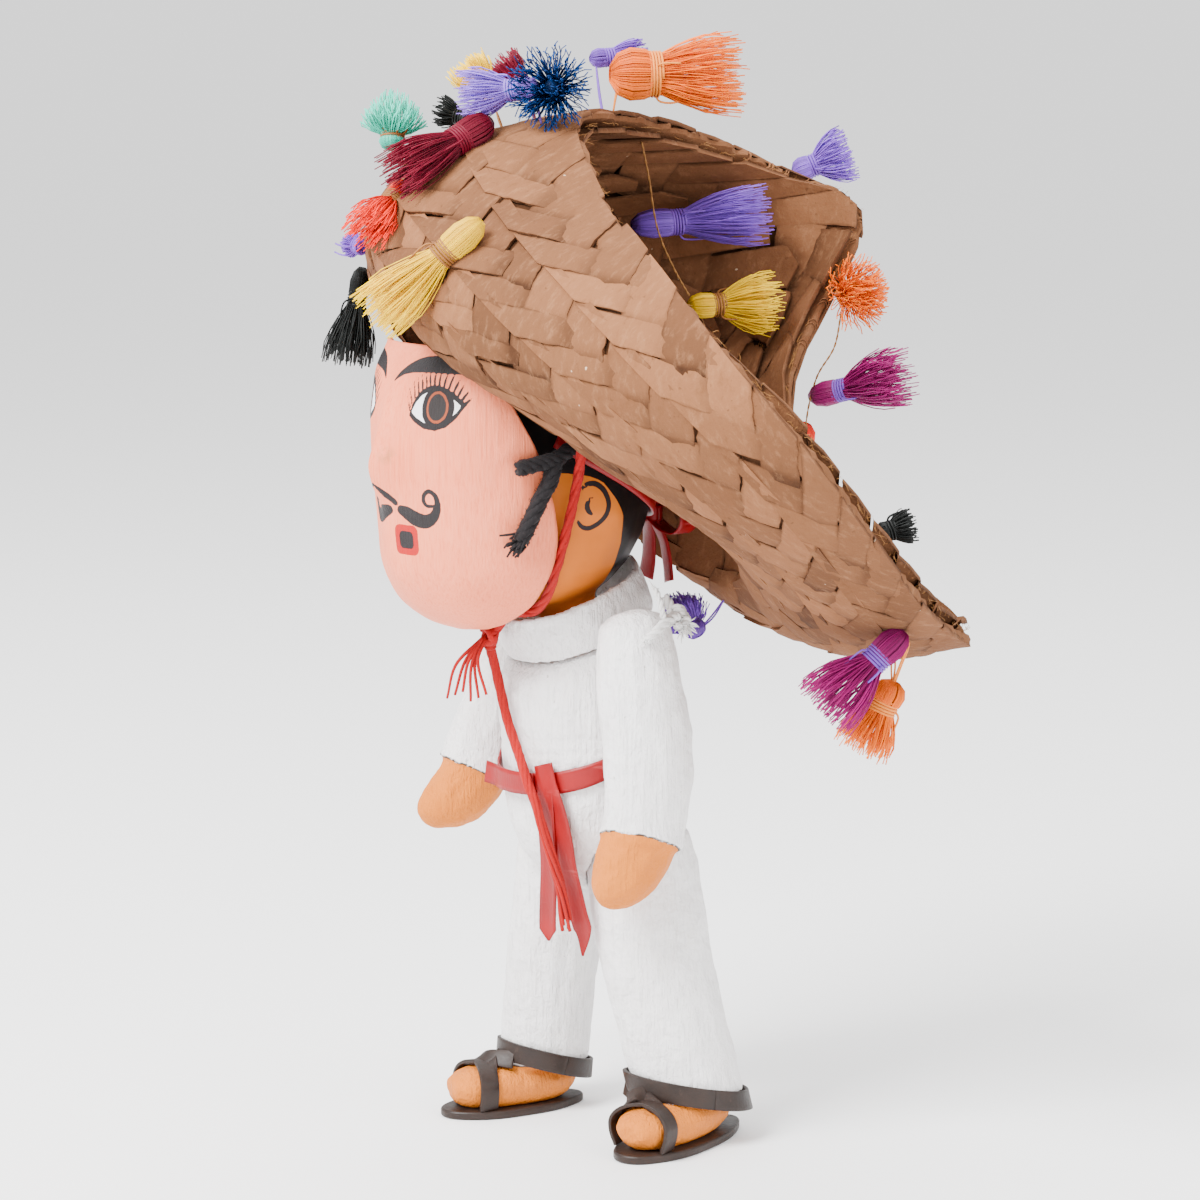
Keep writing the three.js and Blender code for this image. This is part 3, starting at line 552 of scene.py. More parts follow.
def mask_paint():
    """Pink paint with fine upright brush lines and a hand-painted face."""
    look = Look("mask_paint", specular_ior_level=0.3)
    lines = look.noise(1.0, 6, 0.62, look.stretched((1500, 1500, 60)))
    broad = look.noise(45, 4)
    base = look.mix(look.span(broad, 0.35, 0.7), dye("mask_deep"), dye("mask"))
    base = look.mix(look.times(look.span(lines, 0.45, 0.75), 0.22), base, (1.0, 0.40, 0.25))
    wear = look.times(look.span(look.attribute("wear"), 1.0, -1.6),
                     look.span(look.noise(420, 4, 0.65), 0.42, 0.56))
    base = look.mix(look.times(wear, 0.85), base, (0.52, 0.17, 0.07))
    shadow = look.span(look.noise(520, 2), 0.76, 0.79)
    base = look.mix(look.times(shadow, 0.3), base, (0.5, 0.25, 0.2))
    ink = (0.010, 0.007, 0.008)
    for field, tone in (("ink", ink), ("white", (0.86, 0.84, 0.86)), ("iris_edge", ink),
                        ("iris", (0.27, 0.050, 0.014)), ("pupil", (0.017, 0.013, 0.013)),
                        ("lips", (0.42, 0.002, 0.001)), ("mouth", ink)):
        wobble = look.math("ADD", look.attribute(field),
                           look.span(look.noise(700, 3), 0, 1, -0.16, 0.16))
        streak = look.mix(look.times(look.span(lines, 0.5, 0.8), 0.14), tone,
                          tuple(min(c * 1.2 + 0.01, 1) for c in tone))
        base = look.mix(look.span(wobble, 0.045, -0.045), base, streak)
    base = look.mix(look.times(look.span(lines, 0.46, 0.28), 0.30), base,
                    (0.55, 0.13, 0.06), "MULTIPLY")
    look.colour(base)
    look.rough(look.span(broad, 0.3, 0.7, 0.46, 0.6))
    height = look.math("ADD", look.times(lines, 0.6), look.noise(140, 4))
    look.bump(height, 0.6, 0.0009)
    return look.material


def bark():
    """Brown bark paper: fibres, mottling and a tone of its own for each strip, with painted shade from
    the shade numbers.
    """
    look = Look("bark", roughness=0.9, specular_ior_level=0.1)
    shade = look.attribute("shade")
    fibres = look.noise(1.0, 6, 0.7, look.stretched((500, 160, 220), (0.5, 0.3, 0.8)))
    broad = look.noise(75, 5, 0.6)
    # Painted shade: low shade numbers darken the strips in the plait's gaps, along their borders and
    # where they pass under
    base = look.mix(shade, dye("bark_dark_and_shade"), dye("bark"))
    base = look.mix(look.span(broad, 0.3, 0.7, 0.0, 0.45), base, (0.175, 0.070, 0.030))
    base = look.mix(look.times(look.span(fibres, 0.52, 0.74), 0.35), base,
                    (0.39, 0.19, 0.095))
    base = look.mix(look.times(look.span(fibres, 0.44, 0.28), 0.4), base,
                    (0.10, 0.038, 0.013))
    fleck = look.span(look.noise(520, 2, 0.5), 0.70, 0.75)
    base = look.mix(look.times(fleck, 0.5), base, (0.08, 0.035, 0.015))
    pale = look.span(look.noise(340, 2, 0.5), 0.775, 0.80)
    base = look.mix(look.times(pale, 0.6), base, (0.70, 0.52, 0.36))
    look.colour(base)
    height = look.math("ADD", look.times(fibres, 0.6), look.noise(650, 4, 0.65))
    look.bump(height, 0.6, 0.0005)
    return look.material


def bark_core():
    """Painted shade: the near-black inside of the plait, seen in the gaps between strips."""
    look = Look("bark_core", roughness=0.95, specular_ior_level=0.1)
    look.colour(look.mix(look.noise(260, 5, 0.65), (0.018, 0.007, 0.003), (0.075, 0.030, 0.012)))
    look.bump(look.noise(500, 4), 0.5, 0.0005)
    return look.material


def silk(name):
    """Rayon thread of one colour, each strand a little lighter or darker."""
    tone = dye(name)
    look = Look("silk_" + name, roughness=0.5, specular_ior_level=0.2)
    shade = look.attribute("shade")
    dark = tuple(c * 0.5 for c in tone)
    light = tuple(min(c * (2.1 if name in ("purple", "navy") else 1.35), 1.0) for c in tone)
    base = look.mix(shade, dark, light)
    base = look.mix(look.span(look.noise(900, 3), 0.35, 0.75, 0.0, 0.35), base, tone)
    look.colour(base)
    look.bump(look.noise(1500, 2), 0.35, 0.0002)
    return look.material


def yarn(name, spot, hairy=0.04):
    """Plied yarn with fine fibres."""
    tone = dye(name)
    look = Look(name, roughness=0.8, specular_ior_level=0.25, sheen_weight=hairy)
    shade = look.attribute("shade")
    fibre = look.noise(1.0, 5, 0.7, look.stretched((1900, 1900, 900), (0.6, 0.5, 0.2)))
    base = look.mix(shade, tuple(c * 0.68 for c in tone), tone)
    base = look.mix(look.span(fibre, 0.5, 0.8, 0.0, 0.45), base,
                    tuple(min(c * 1.35 + 0.02, 1.0) for c in tone))
    base = look.mix(look.times(look.span(fibre, 0.74, 0.8), 0.35), base, spot)
    look.colour(base)
    look.bump(fibre, 0.6, 0.0004)
    return look.material


def red_sheet():
    """Thin red ribbon paper, creased, with pale crease marks."""
    look = Look("red_ribbon", specular_ior_level=0.3)
    broad = look.noise(90, 4)
    weave = look.noise(1.0, 3, 0.6, look.stretched((1500, 1500, 350)))
    base = look.mix(look.span(broad, 0.3, 0.7), dye("ribbon_deep"), dye("ribbon"))
    crease = look.span(look.noise(1.0, 3, 0.5, look.stretched((70, 70, 420))), 0.66, 0.74)
    base = look.mix(look.times(crease, 0.35), base, (0.56, 0.09, 0.09))
    look.colour(base)
    look.rough(look.span(broad, 0.3, 0.7, 0.34, 0.52))
    look.bump(look.math("ADD", weave, look.times(broad, 2.0)), 0.25, 0.0004)
    return look.material


def sandal_leather():
    """Dark brown glossy card and leather, rubbed lighter in places."""
    look = Look("sandal_leather", specular_ior_level=0.3)
    broad = look.noise(120, 5, 0.6)
    base = look.mix(look.span(broad, 0.3, 0.7), dye("leather_deep"), dye("leather"))
    rub = look.span(look.noise(310, 4, 0.7), 0.62, 0.72)
    base = look.mix(look.times(rub, 0.16), base, (0.12, 0.07, 0.05))
    base = look.mix(look.times(look.attribute("shade"), 0.12), base, (0.12, 0.07, 0.05))
    look.colour(base)
    look.rough(look.span(broad, 0.3, 0.7, 0.36, 0.58))
    look.bump(look.noise(480, 5, 0.6), 0.4, 0.0004)
    return look.material


LOOKS = {}


def look_of(name):
    """The material of a finish, made once."""
    if name not in LOOKS:
        makers = {
            "white_paint": white_paint, "head_paint": head_paint, "mask_paint": mask_paint,
            "bark": bark, "bark_core": bark_core, "red_sheet": red_sheet,
            "sandal_leather": sandal_leather,
            "red_yarn": lambda: yarn("red_yarn", (0.7, 0.05, 0.03)),
            "black_yarn": lambda: yarn("black_yarn", (0.30, 0.29, 0.30)),
            "cotton": lambda: yarn("cotton", (0.95, 0.95, 0.94), 0.2),
            "tan_thread": lambda: yarn("tan_thread", (0.5, 0.3, 0.15)),
        }
        LOOKS[name] = silk(name[5:]) if name.startswith("silk_") else makers[name]()
    return LOOKS[name]


# The painted face

def brush(x, z, stroke):
    """Distance to a brush stroke given as points with their half widths."""
    best = np.full(len(x), 99.0)
    for (ax, az, ar), (bx, bz, br) in zip(stroke, stroke[1:]):
        dx, dz = bx - ax, bz - az
        t = np.clip(((x - ax) * dx + (z - az) * dz) / (dx * dx + dz * dz), 0, 1)
        gap = np.hypot(x - ax - t * dx, z - az - t * dz) - (ar + (br - ar) * t)
        best = np.minimum(best, gap)
    return best


def stroke_of(points, steps=44):
    """A hand's smooth stroke through the points and their half widths."""
    return [tuple(p) for p in path_of(points, steps)]


def egg(x, z, centre, rx, rz):
    """Distance to an oval's edge."""
    return (np.hypot((x - centre[0]) / rx, (z - centre[1]) / rz) - 1) * min(rx, rz)


def soft_box(x, z, centre, hx, hz, corner):
    """Distance to the edge of a box with round corners."""
    dx = np.abs(x - centre[0]) - hx + corner
    dz = np.abs(z - centre[1]) - hz + corner
    return np.hypot(np.maximum(dx, 0), np.maximum(dz, 0)) + np.minimum(np.maximum(dx, dz), 0) - corner


BROW = [(-0.1, 230.6, 0.25), (3.2, 233.4, 1.1), (8, 235.2, 1.9), (14, 236.0, 2.3), (20, 236.2, 2.4),
        (25, 235.8, 2.0), (29, 234.8, 1.2), (32, 233.6, 0.4)]
MOUSTACHE = [(6.9, 193.5, 1.5), (9.6, 192.6, 2.1), (13, 191.2, 2.2), (15.9, 190.9, 2.0),
             (18.1, 192.3, 1.5), (19.4, 194.7, 1.05), (19.7, 196.9, 0.8), (19.1, 198.9, 0.7),
             (17.5, 199.8, 0.65), (15.9, 198.6, 0.6), (15.6, 196.7, 0.6), (16.5, 195.5, 0.55),
             (18.1, 195.5, 0.45)]
NOSE_LINE = [(0.1, 200.9, 0.3), (1.7, 199.3, 0.7), (3.2, 197.6, 0.95), (5.2, 195.6, 0.85)]
LID = [(10.4, 221.6), (11.2, 224.2), (12.6, 226.9), (14.5, 228.9), (16.6, 230.0), (18.8, 230.4),
       (21.2, 230.2), (23.5, 229.4), (25.6, 228.1), (27.3, 226.5), (28.4, 225.2)]
LOWER_LID = [(10.4, 221.2), (13.0, 219.4), (16.5, 217.9), (20.3, 217.4), (23.6, 218.6), (26.2, 221.2),
             (28.4, 225.0)]
LASH_TIPS = [(8.1, 226.6), (8.3, 229.4), (9.7, 231.5), (11.4, 232.3), (12.9, 232.9), (14.3, 233.6),
             (16.1, 234.0), (18.1, 234.2), (20.1, 234.1), (22.3, 233.9), (24.4, 233.6), (26.2, 232.5),
             (27.4, 231.0), (28.6, 229.2), (29.4, 227.2)]
EYE = (20.5, 224.2)
RIM_RADII, IRIS_RADII, PUPIL_RADII = (5.15, 6.4), (3.5, 4.6), (2.85, 3.85)
LID_INK = 1.45
EYE_AXIS = -1.0
BROW_AXIS = -3.6
LIP_AXIS = 4.6
MOUTH = (8.3, 184.9)


def lid_gap(x, z):
    """Distance to the opening between the two lids."""
    upper = np.interp(x, *zip(*LID))
    lower = np.interp(x, *zip(*LOWER_LID))
    beyond = np.maximum(np.maximum(LID[0][0] - x, x - LID[-1][0]), 0)
    return np.maximum(z - upper, lower - z) * 0.86 + beyond * 0.8


def face_fields(x, z):
    """The face's painted shapes over the mask, mirrored for its far half."""
    brow, moustache = stroke_of(BROW, 24), stroke_of(MOUSTACHE)
    ink = np.minimum(brush(x, z, brow), brush(2 * BROW_AXIS - x, z, brow))
    ink = np.minimum(ink, np.minimum(brush(x, z, moustache), brush(2 * LIP_AXIS - x, z, moustache)))
    ink = np.minimum(ink, np.minimum(brush(x, z, NOSE_LINE), brush(-x, z, NOSE_LINE)))
    white, rim, iris, pupil = (np.full(len(x), 99.0) for _ in range(4))
    for side in (x, 2 * EYE_AXIS - x):
        gap = lid_gap(side, z)
        ink = np.minimum(ink, gap)
        white = np.minimum(white, gap + LID_INK)
        rim = np.minimum(rim, np.maximum(egg(side, z, EYE, *RIM_RADII), gap))
        iris = np.minimum(iris, egg(side, z, EYE, *IRIS_RADII))
        pupil = np.minimum(pupil, egg(side, z, EYE, *PUPIL_RADII))
        for k, tip in enumerate(LASH_TIPS):
            root = flow(LID, 0.03 + 0.94 * k / (len(LASH_TIPS) - 1))
            bow = (np.array(tip) + root) / 2 + np.array([0.35 if k < 6 else -0.1, -0.2])
            ink = np.minimum(ink, brush(side, z, [(*root, 0.30), (*bow, 0.34), (*tip, 0.14)]))
    return {
        "ink": ink, "white": white, "iris_edge": rim, "iris": iris, "pupil": pupil,
        "lips": soft_box(x, z, MOUTH, 4.5, 4.4, 1.9), "mouth": soft_box(x, z, MOUTH, 2.75, 2.55, 1.3),
        "wear": egg(x, z, (4.4, 209.3), 2.0, 2.2),
    }


MASK_THICK = 1.7
MASK_ROWS = {
    "z": [156.5, 160, 166, 175, 184, 193, 200, 206, 213, 224, 234, 241],
    "half": [7, 17, 25, 30.5, 33, 34.6, 35, 35.3, 35, 33.6, 30.5, 25],
    "back": [-33, -31, -28, -25.5, -24.5, -26, -28, -30, -33, -39, -44, -48],
    "front": [-40, -49.5, -56.5, -61, -62, -62, -62.5, -63, -63, -61.5, -58.5, -53.5],
    "nose": [0, 0, 0, 0.4, 0.6, 1.5, 4.6, 5.6, 3.6, 1.2, 0.2, 0],
}


def mask_point(across, up):
    """The mask's outer face, across and up from 0 to 1."""
    z, half, back, front, nose = flow(list(zip(*MASK_ROWS.values())), up)
    a = (across - 0.5) * math.pi
    x = half * math.sin(a)
    y = back - (back - front) * math.cos(a) ** 0.9 - nose * math.exp(-((x / 5) ** 2))
    return x, y, z


def build_mask(rows, columns):
    """The mask's face from a grid, with its painted shapes and its wall."""
    clear_selection()
    bpy.ops.mesh.primitive_grid_add(x_subdivisions=columns, y_subdivisions=rows, size=1)
    piece = bpy.context.object
    piece.name = piece.data.name = "face_mask"
    flat = np.empty(len(piece.data.vertices) * 3)
    piece.data.vertices.foreach_get("co", flat)
    grid = flat.reshape(-1, 3)[:, :2] + 0.5
    pts = np.array([mask_point(min(max(u, 0), 1), v) for u, v in grid])
    pucker = np.exp(-((np.abs(pts[:, 0]) - 34.5) ** 2 / 12 + (pts[:, 2] - 207) ** 2 / 14))
    pts[:, 0] *= 1 - 0.03 * pucker
    move_to(piece, pts)
    in_edit_mode(piece, OUTWARD)
    if sum(n[1] for n in normals(piece)) > 0:
        in_edit_mode(piece, (bpy.ops.mesh.flip_normals, {}))
    pts = coords(piece)
    out = normals(piece)
    swell = ripple(pts, 24, 3, 2) * 0.35 + ripple(pts, 7, 5, 2) * 0.10
    move_to(piece, pts + out * swell[:, None])
    paint(piece, **face_fields(pts[:, 0], pts[:, 2]))
    apply_modifier(piece, "SOLIDIFY", thickness=MASK_THICK * MM, offset=-1)
    bpy.ops.object.shade_smooth()
    piece.data.materials.append(look_of("mask_paint"))
    return settle(piece, "mask_paint", "mask")


HEAD_VOXEL = 1.05
EAR_CURL = [(-16.5, 199.2, 0.45), (-14.9, 200.8, 0.7), (-12.6, 201.1, 0.8), (-10.2, 199.9, 0.85),
            (-8.5, 197.9, 0.85), (-7.3, 194.6, 0.85), (-8.0, 191.2, 0.9), (-10.2, 188.8, 0.85),
            (-13.2, 187.7, 0.75), (-15.4, 188.4, 0.6), (-16.9, 190.2, 0.4)]
EAR_COMMA = [(-13.0, 197.2, 0.4), (-14.3, 195.9, 0.6), (-14.6, 194.2, 0.75), (-13.9, 192.8, 0.7),
             (-12.9, 192.0, 0.4)]
# Height and place of the hair's edge, from the nape up
HAIR_LINE = [(165, 1), (177.6, 1.3), (181.9, 1.4), (190.5, -0.8), (196.1, -4.7), (201.6, -9.6),
             (203.9, -15.8), (205.2, -34), (205.6, -70)]


def build_head():
    """The head with its small raised ears, its hair line and the ear's drawn curl."""
    piece = solid_copy("head", "painted_head", HEAD_VOXEL, 8)
    pts = coords(piece)
    rise = EAR["height"] * 0.3 * np.exp(-((pts[:, 1] + 11) ** 2 + (pts[:, 2] - 195) ** 2) / 40)
    pts[:, 0] += np.sign(pts[:, 0]) * rise * (np.abs(pts[:, 0]) > 20)
    pts += normals(piece) * (ripple(pts, 18, 9, 2) * 0.2)[:, None]
    move_to(piece, pts)
    hair = np.interp(pts[:, 2], *zip(*HAIR_LINE)) - pts[:, 1]
    curl = np.minimum(brush(pts[:, 1], pts[:, 2], stroke_of(EAR_CURL)),
                      brush(pts[:, 1], pts[:, 2], stroke_of(EAR_COMMA, 16)))
    curl[np.abs(pts[:, 0]) < 20] = 9
    paint(piece, hair=hair, ink=curl)
    piece.data.materials.append(look_of("head_paint"))
    settle(piece, "skin_paint", "head")


# The painted clothes

COLLAR_VOXEL = 0.85
SLEEVE_END = {
    "left_arm": ((41, -1.4, 95), (0.25, -0.36, -0.97)),
    "right_arm": ((-40.5, -12, 105), (-0.05, -0.40, -0.91)),
}
# Height, depth and width of the trunk's creases
TORSO_CREASES = ((122.5, 0.5, 1.3), (118.9, 0.35, 1.0), (137, 0.3, 1.6))
CUFF_HEIGHT = 14.9
FOOT_BOTTOM = 2.75
CUFF = {"left_leg": (30, 22, 14.5, 17.5), "right_leg": (-25.5, 3.5, 12.4, 14.2)}


def paper_skin(node, voxel, seed):
    """A clothed part: its solid meshed finely, dented and brushed, with its painted borders and the
    painted shade line of the crack along them.
    """
    piece = solid_copy(node, node + "_paper", voxel, 7)
    pts = coords(piece)
    out = normals(piece)
    dents = ripple(pts, 15, seed, 2) * 0.55 + ripple(pts, 4.5, seed + 4, 3) * 0.16
    ridge = ripple(pts * np.array([1, 1, 0.22]), 1.6, seed + 9, 2) * 0.05
    skin = np.full(len(pts), 9.0)
    edge = np.full(len(pts), 9.0)
    if node in SLEEVE_END:
        foot, way = (np.array(q, float) for q in SLEEVE_END[node])
        skin = -(pts - foot) @ (way / np.linalg.norm(way)) + 0.35 * ripple(pts, 2.2, seed + 2, 2)
        # The edge field places the painted shade line of the crack at the sleeve's end
        edge = np.abs(skin - 0.1)
        dents += 0.35 * np.exp(-((skin - 0.9) / 0.9) ** 2)
    if node in CUFF:
        cx, cy, rx, ry = CUFF[node]
        round_leg = np.hypot((pts[:, 0] - cx) / rx, (pts[:, 1] - cy) / ry)
        skin = np.minimum(pts[:, 2] - CUFF_HEIGHT,
                          np.maximum(pts[:, 2] - CUFF_HEIGHT - 2.1, (1.06 - round_leg) * 14))
        skin += 0.3 * ripple(pts, 2.0, seed + 2, 2)
        # The edge field places the painted shade line of the crack at the trouser hem
        edge = np.abs(skin)
        low = np.clip((9.3 - pts[:, 2]) / 5.0, 0, 1)
        sunk = np.maximum(pts[:, 2] - 2.6 * low * low * (3 - 2 * low), FOOT_BOTTOM)
        pts[:, 2] = np.where(low > 0, sunk, pts[:, 2])
        dents *= 1 - low
    if node == "torso":
        for level, depth, run in TORSO_CREASES:
            wave = level + 1.8 * ripple(pts * np.array([1, 1, 0]), 16, seed, 1)
            dents -= depth * np.exp(-((pts[:, 2] - wave) / run) ** 2)
    move_to(piece, pts + out * (dents + ridge)[:, None])
    paint(piece, skin=skin, edge=edge)
    piece.data.materials.append(look_of("white_paint"))
    return settle(piece, "white_paint", node)


def build_collar():
    """The thick paper ring round the neck."""
    piece = solid_copy("collar", "collar_paper", COLLAR_VOXEL, 5)
    pts = coords(piece)
    out = normals(piece)
    wave = ripple(pts, 12, 31, 2) * 0.4 + ripple(pts, 3.5, 33, 2) * 0.1
    move_to(piece, pts + out * wave[:, None])
    paint(piece, skin=np.full(len(pts), 9.0), edge=np.full(len(pts), 9.0))
    piece.data.materials.append(look_of("white_paint"))
    settle(piece, "white_paint", "collar")


# The plaited hat

class HatSurface:
    """The hat's surface as a table: turn goes once round from the front by the left side, out from
    the crown's top over the head opening to the rim, and h from the bowl's face to the outer one."""

    def __init__(self, turns=336, outs=141):
        self.turns, self.outs = turns, outs
        level = np.linspace(0, 1, outs)
        ahead, aside = CROWN_TOP
        rows = []
        for i in range(turns):
            edge, rim = flow(BRIM_OPEN, i / turns, True), flow(BRIM_RIM, i / turns, True)
            swell = flow([(a, b, 0) for a, b in BRIM_SWELL], i / turns, True)
            away = unit(np.array([edge[0] - ahead, edge[1] - aside, 0]))
            middle = (edge + rim) / 2 + away * swell[0] + np.array([0, 0, swell[1]])
            t = np.minimum(level / HAT_OPENING, 1)
            spread = np.sin(t * math.pi / 2) ** 0.7
            rise = HAT_CROWN * np.maximum(np.cos(t * math.pi / 2), 0) ** 0.7
            crown = np.stack([ahead + (edge[0] - ahead) * spread,
                              aside + (edge[1] - aside) * spread, edge[2] * t + rise], 1)
            b = np.maximum((level - HAT_OPENING) / (1 - HAT_OPENING), 0)[:, None]
            brim = edge * (1 - b) ** 2 + middle * 2 * b * (1 - b) + rim * b * b
            rows.append(np.where((level <= HAT_OPENING)[:, None], crown, brim))
        flat = np.array(rows)
        self.points = (HAT_CENTRE + flat[..., :1] * HAT_FORWARD + flat[..., 1:2] * HAT_SIDE
                       + flat[..., 2:] * HAT_AXIS)
        du = np.roll(self.points, -1, 0) - np.roll(self.points, 1, 0)
        dv = np.gradient(self.points, axis=1)
        normal = unit(np.cross(dv, du))
        normal[:, 0] = normal[:, 1].mean(0)
        for _ in range(3):
            normal[:, 1:-1] = unit(normal[:, :-2] + 2 * normal[:, 1:-1] + normal[:, 2:])
        self.normals = normal

    def spot(self, turn, out, h):
        """The place, or rows of places, at a turn, a distance out and a height."""
        turn = (np.asarray(turn, float) % 1.0) * self.turns
        out = np.asarray(out, float)
        beyond = np.maximum(out - 1, 0)
        level = np.clip(out, 0, 1) * (self.outs - 1)
        i, j = np.floor(turn).astype(int), np.minimum(np.floor(level).astype(int), self.outs - 2)
        a, b = (turn - i)[..., None], (level - j)[..., None]
        i0, i1 = i % self.turns, (i + 1) % self.turns

        def between(table):
            return ((1 - a) * ((1 - b) * table[i0, j] + b * table[i0, j + 1])
                    + a * ((1 - b) * table[i1, j] + b * table[i1, j + 1]))
        run = (self.points[i0, -1] - self.points[i0, -3]) * (self.outs - 1) / 2
        return (between(self.points) + between(self.normals) * np.asarray(h, float)[..., None]
                + run * beyond[..., None])

    def row_turns(self, out, pitch):
        """Turns that divide a row into equal steps of about the pitch, and their number."""
        j = int(round(out * (self.outs - 1)))
        ring = self.points[:, j]
        step = np.linalg.norm(np.roll(ring, -1, 0) - ring, axis=1)
        length = np.concatenate([[0], np.cumsum(step)])
        count = max(6, int(round(length[-1] / pitch)))
        turns = np.arange(self.turns + 1) / self.turns

        def turn_at(place):
            return np.interp((place % count) / count * length[-1], length, turns)
        return turn_at, count


# Places across a strip, from one folded-down edge over its rounded shoulders to the other, and along it
STRIP_ACROSS = np.array([0.0, 0.0, 0.07, 0.5, 0.93, 1.0, 1.0])
STRIP_ALONG = np.concatenate([[0.0], np.linspace(0, 1, 10)])
STRIP_PITCH = 0.8
STRIP_RUN = 2.32
STRIP_DIVES = 2.02
RIM_LIFT = 2.9


def plait_row(heap, hat, inner, outer, face, seed):
    """One row of flat three-strip plait: strips cross the row from both edges, over one, under one,
    with painted shade in their shade numbers.
    """
    rng = np.random.default_rng(seed)
    outside, last = face == "outer", outer > 0.99
    spread = 1.03 if last else 1.18
    j0, j1 = (int(round(q * (hat.outs - 1))) for q in (inner, outer))
    width = np.linalg.norm(np.diff(hat.points[:, j0:j1 + 1], axis=1), axis=2).sum(1).mean()
    turn_at, count = hat.row_turns((inner + outer) / 2, width * STRIP_PITCH)
    base, lift, sign, tilt = (HAT_THICK - 0.1, 1.5, 1, 0.95) if outside else (0.1, 0.6, -1, 0.45)
    corner = (0.02 if last else 0.15) if outside else 0.0
    m = len(STRIP_ACROSS)
    grid = [(a * m + b, a * m + b + 1, (a + 1) * m + b + 1, (a + 1) * m + b)
            for a in range(len(STRIP_ALONG) - 1) for b in range(m - 1)]
    for i in range(count):
        for edge in (0, 1):
            shade = 0.66 + 0.16 * rng.standard_normal()
            slip, rock, raised = rng.normal((0, tilt, 0), [0.035, 0.30, 0.18])
            stand = 0.018 * rng.standard_normal()
            width_u = 0.97 + 0.04 * rng.standard_normal()
            u, k = np.meshgrid(STRIP_ACROSS, STRIP_ALONG)
            cut = rng.normal(0, 0.012, u.shape)
            t = u + k * (STRIP_RUN - u)
            v = (t - u) / 3 - corner * (1 - np.abs(u - 0.65) / 0.65) * (1 - k) ** 2
            toward_rim = v if edge == 0 else 1 - v
            along = i + 0.5 * edge + slip + 1.5 * v + (u - 0.5) * width_u + 0.5 + cut
            reach = inner + (outer - inner) * (toward_rim * spread - 0.02 + stand)
            over = 1 / (1 + np.exp((t - STRIP_DIVES) * 16))
            h = lift * (0.95 * over - 0.15) + np.sin(np.pi * u) * 0.42 + rock * (u - 0.5) + raised
            h += 0.25 * np.exp(-((v / 0.05) ** 2))
            h += RIM_LIFT * toward_rim if outside else 0.5 * (1 - toward_rim)
            h[:, 0] -= 1.1
            h[:, -1] -= 1.1
            h[0] -= 1.5
            # Painted shadow: the start of an outer row darkens where the next row's edge lies over it
            depth = np.exp(-(np.maximum(toward_rim - 0.21, 0) / 0.08) ** 2) if outside else 0.0
            # Painted shade in the shade numbers: darker where a strip passes under, darkest on its
            # folded-down edges and first ring, dark lines along its borders; the rest is the strip's
            # own random tone
            tone = np.clip(shade - 0.45 * (1 - over) - 0.75 * depth, 0, 1)
            tone[:, 0] = tone[:, -1] = tone[0] = 0.0
            tone[:, 1] *= 0.35
            tone[:, 5] *= 0.6
            faces = [f[::-1] for f in grid] if (edge == 0) == outside else grid
            heap.add(hat.spot(turn_at(along), reach, base + sign * h), faces, tone.ravel(), 0)


CORE_STEPS, LIP_STEPS, RIM_STEPS = 144, 210, 260
LIP_FIBRES, ROW_FIBRES = 1900, 330
STITCHED = (0.62, 0.86)


def core_shell(heap, hat):
    """The body of the plait between its two faces, near-black as painted shade for the gaps."""
    turn = np.arange(CORE_STEPS) / CORE_STEPS
    outs = [0.012, 0.04, 0.08, *np.linspace(0.12, 0.985, 44)]
    upper, under = ([hat.spot(turn, np.full(CORE_STEPS, q), np.full(CORE_STEPS, h)) for q in outs]
                    for h in (0.55, HAT_THICK - 0.4))
    heap.rings(upper + under[::-1], 0.2, 1)


def torn_lip(heap, hat, seed):
    """The torn double edge round the head opening, with its loose fibres."""
    rng = np.random.default_rng(seed)
    turn = np.arange(LIP_STEPS) / LIP_STEPS
    for start, rise in ((0.284, 0.0), (0.296, 1.5)):
        wave = np.interp(turn * 60 % 60, np.arange(61), rng.normal(0, 0.006, 61))
        ragged = 0.004 * rng.standard_normal(LIP_STEPS) + wave
        lift = rise + np.interp(turn * 40 % 40, np.arange(41), rng.uniform(-0.3, 0.5, 41))
        rows = [hat.spot(turn, start + q + (ragged if q <= 0 else 0), HAT_THICK - 0.5 + lift + h)
                for q, h in ((0.015, 0.0), (0.0, 0.1), (-0.008, 0.5), (0.0, 1.0), (0.02, 1.2),
                             (0.05, 0.4))]
        heap.loop(rows, 0.5 + 0.2 * rng.random(), 0)
    for _ in range(LIP_FIBRES):
        t = rng.random()
        out = 0.282 + 0.012 * rng.standard_normal()
        root = hat.spot(t, out, HAT_THICK + 0.8)
        tip = hat.spot(t + 0.006 * rng.standard_normal(), out - 0.012 * rng.random(),
                       HAT_THICK + 0.8 + 2.6 * rng.random())
        fibre(heap, root, tip, rng.normal(0, 0.3, 3), 0.9)


def fibre(heap, root, tip, bend, shade):
    """One loose bark fibre."""
    heap.tube([root, (root + tip) / 2 + bend, tip], [0.07, 0.06, 0.03], 3, shade, 2)


def rim_fold(heap, hat, seed):
    """The last strip folded over the rim, a little ragged."""
    rng = np.random.default_rng(seed)
    turn = np.arange(RIM_STEPS) / RIM_STEPS
    ragged = 0.003 * rng.standard_normal(RIM_STEPS) + np.interp(
        turn * 50 % 50, np.arange(51), rng.normal(0, 0.004, 51))
    rows = [hat.spot(turn, np.minimum(q + ragged * w, 1.006), np.full(RIM_STEPS, h)) for q, h, w in (
        (0.93, HAT_THICK + 0.2, 1), (0.945, HAT_THICK + 1.0, 1), (0.985, HAT_THICK + 0.7, 0),
        (1.0, HAT_THICK - 0.2, 1), (1.002, 0.8, 1), (0.996, -0.35, 1), (0.97, -0.5, 0),
        (0.95, -0.45, 1), (0.94, 0.5, 1))]
    heap.loop(rows, 0.62, 0)


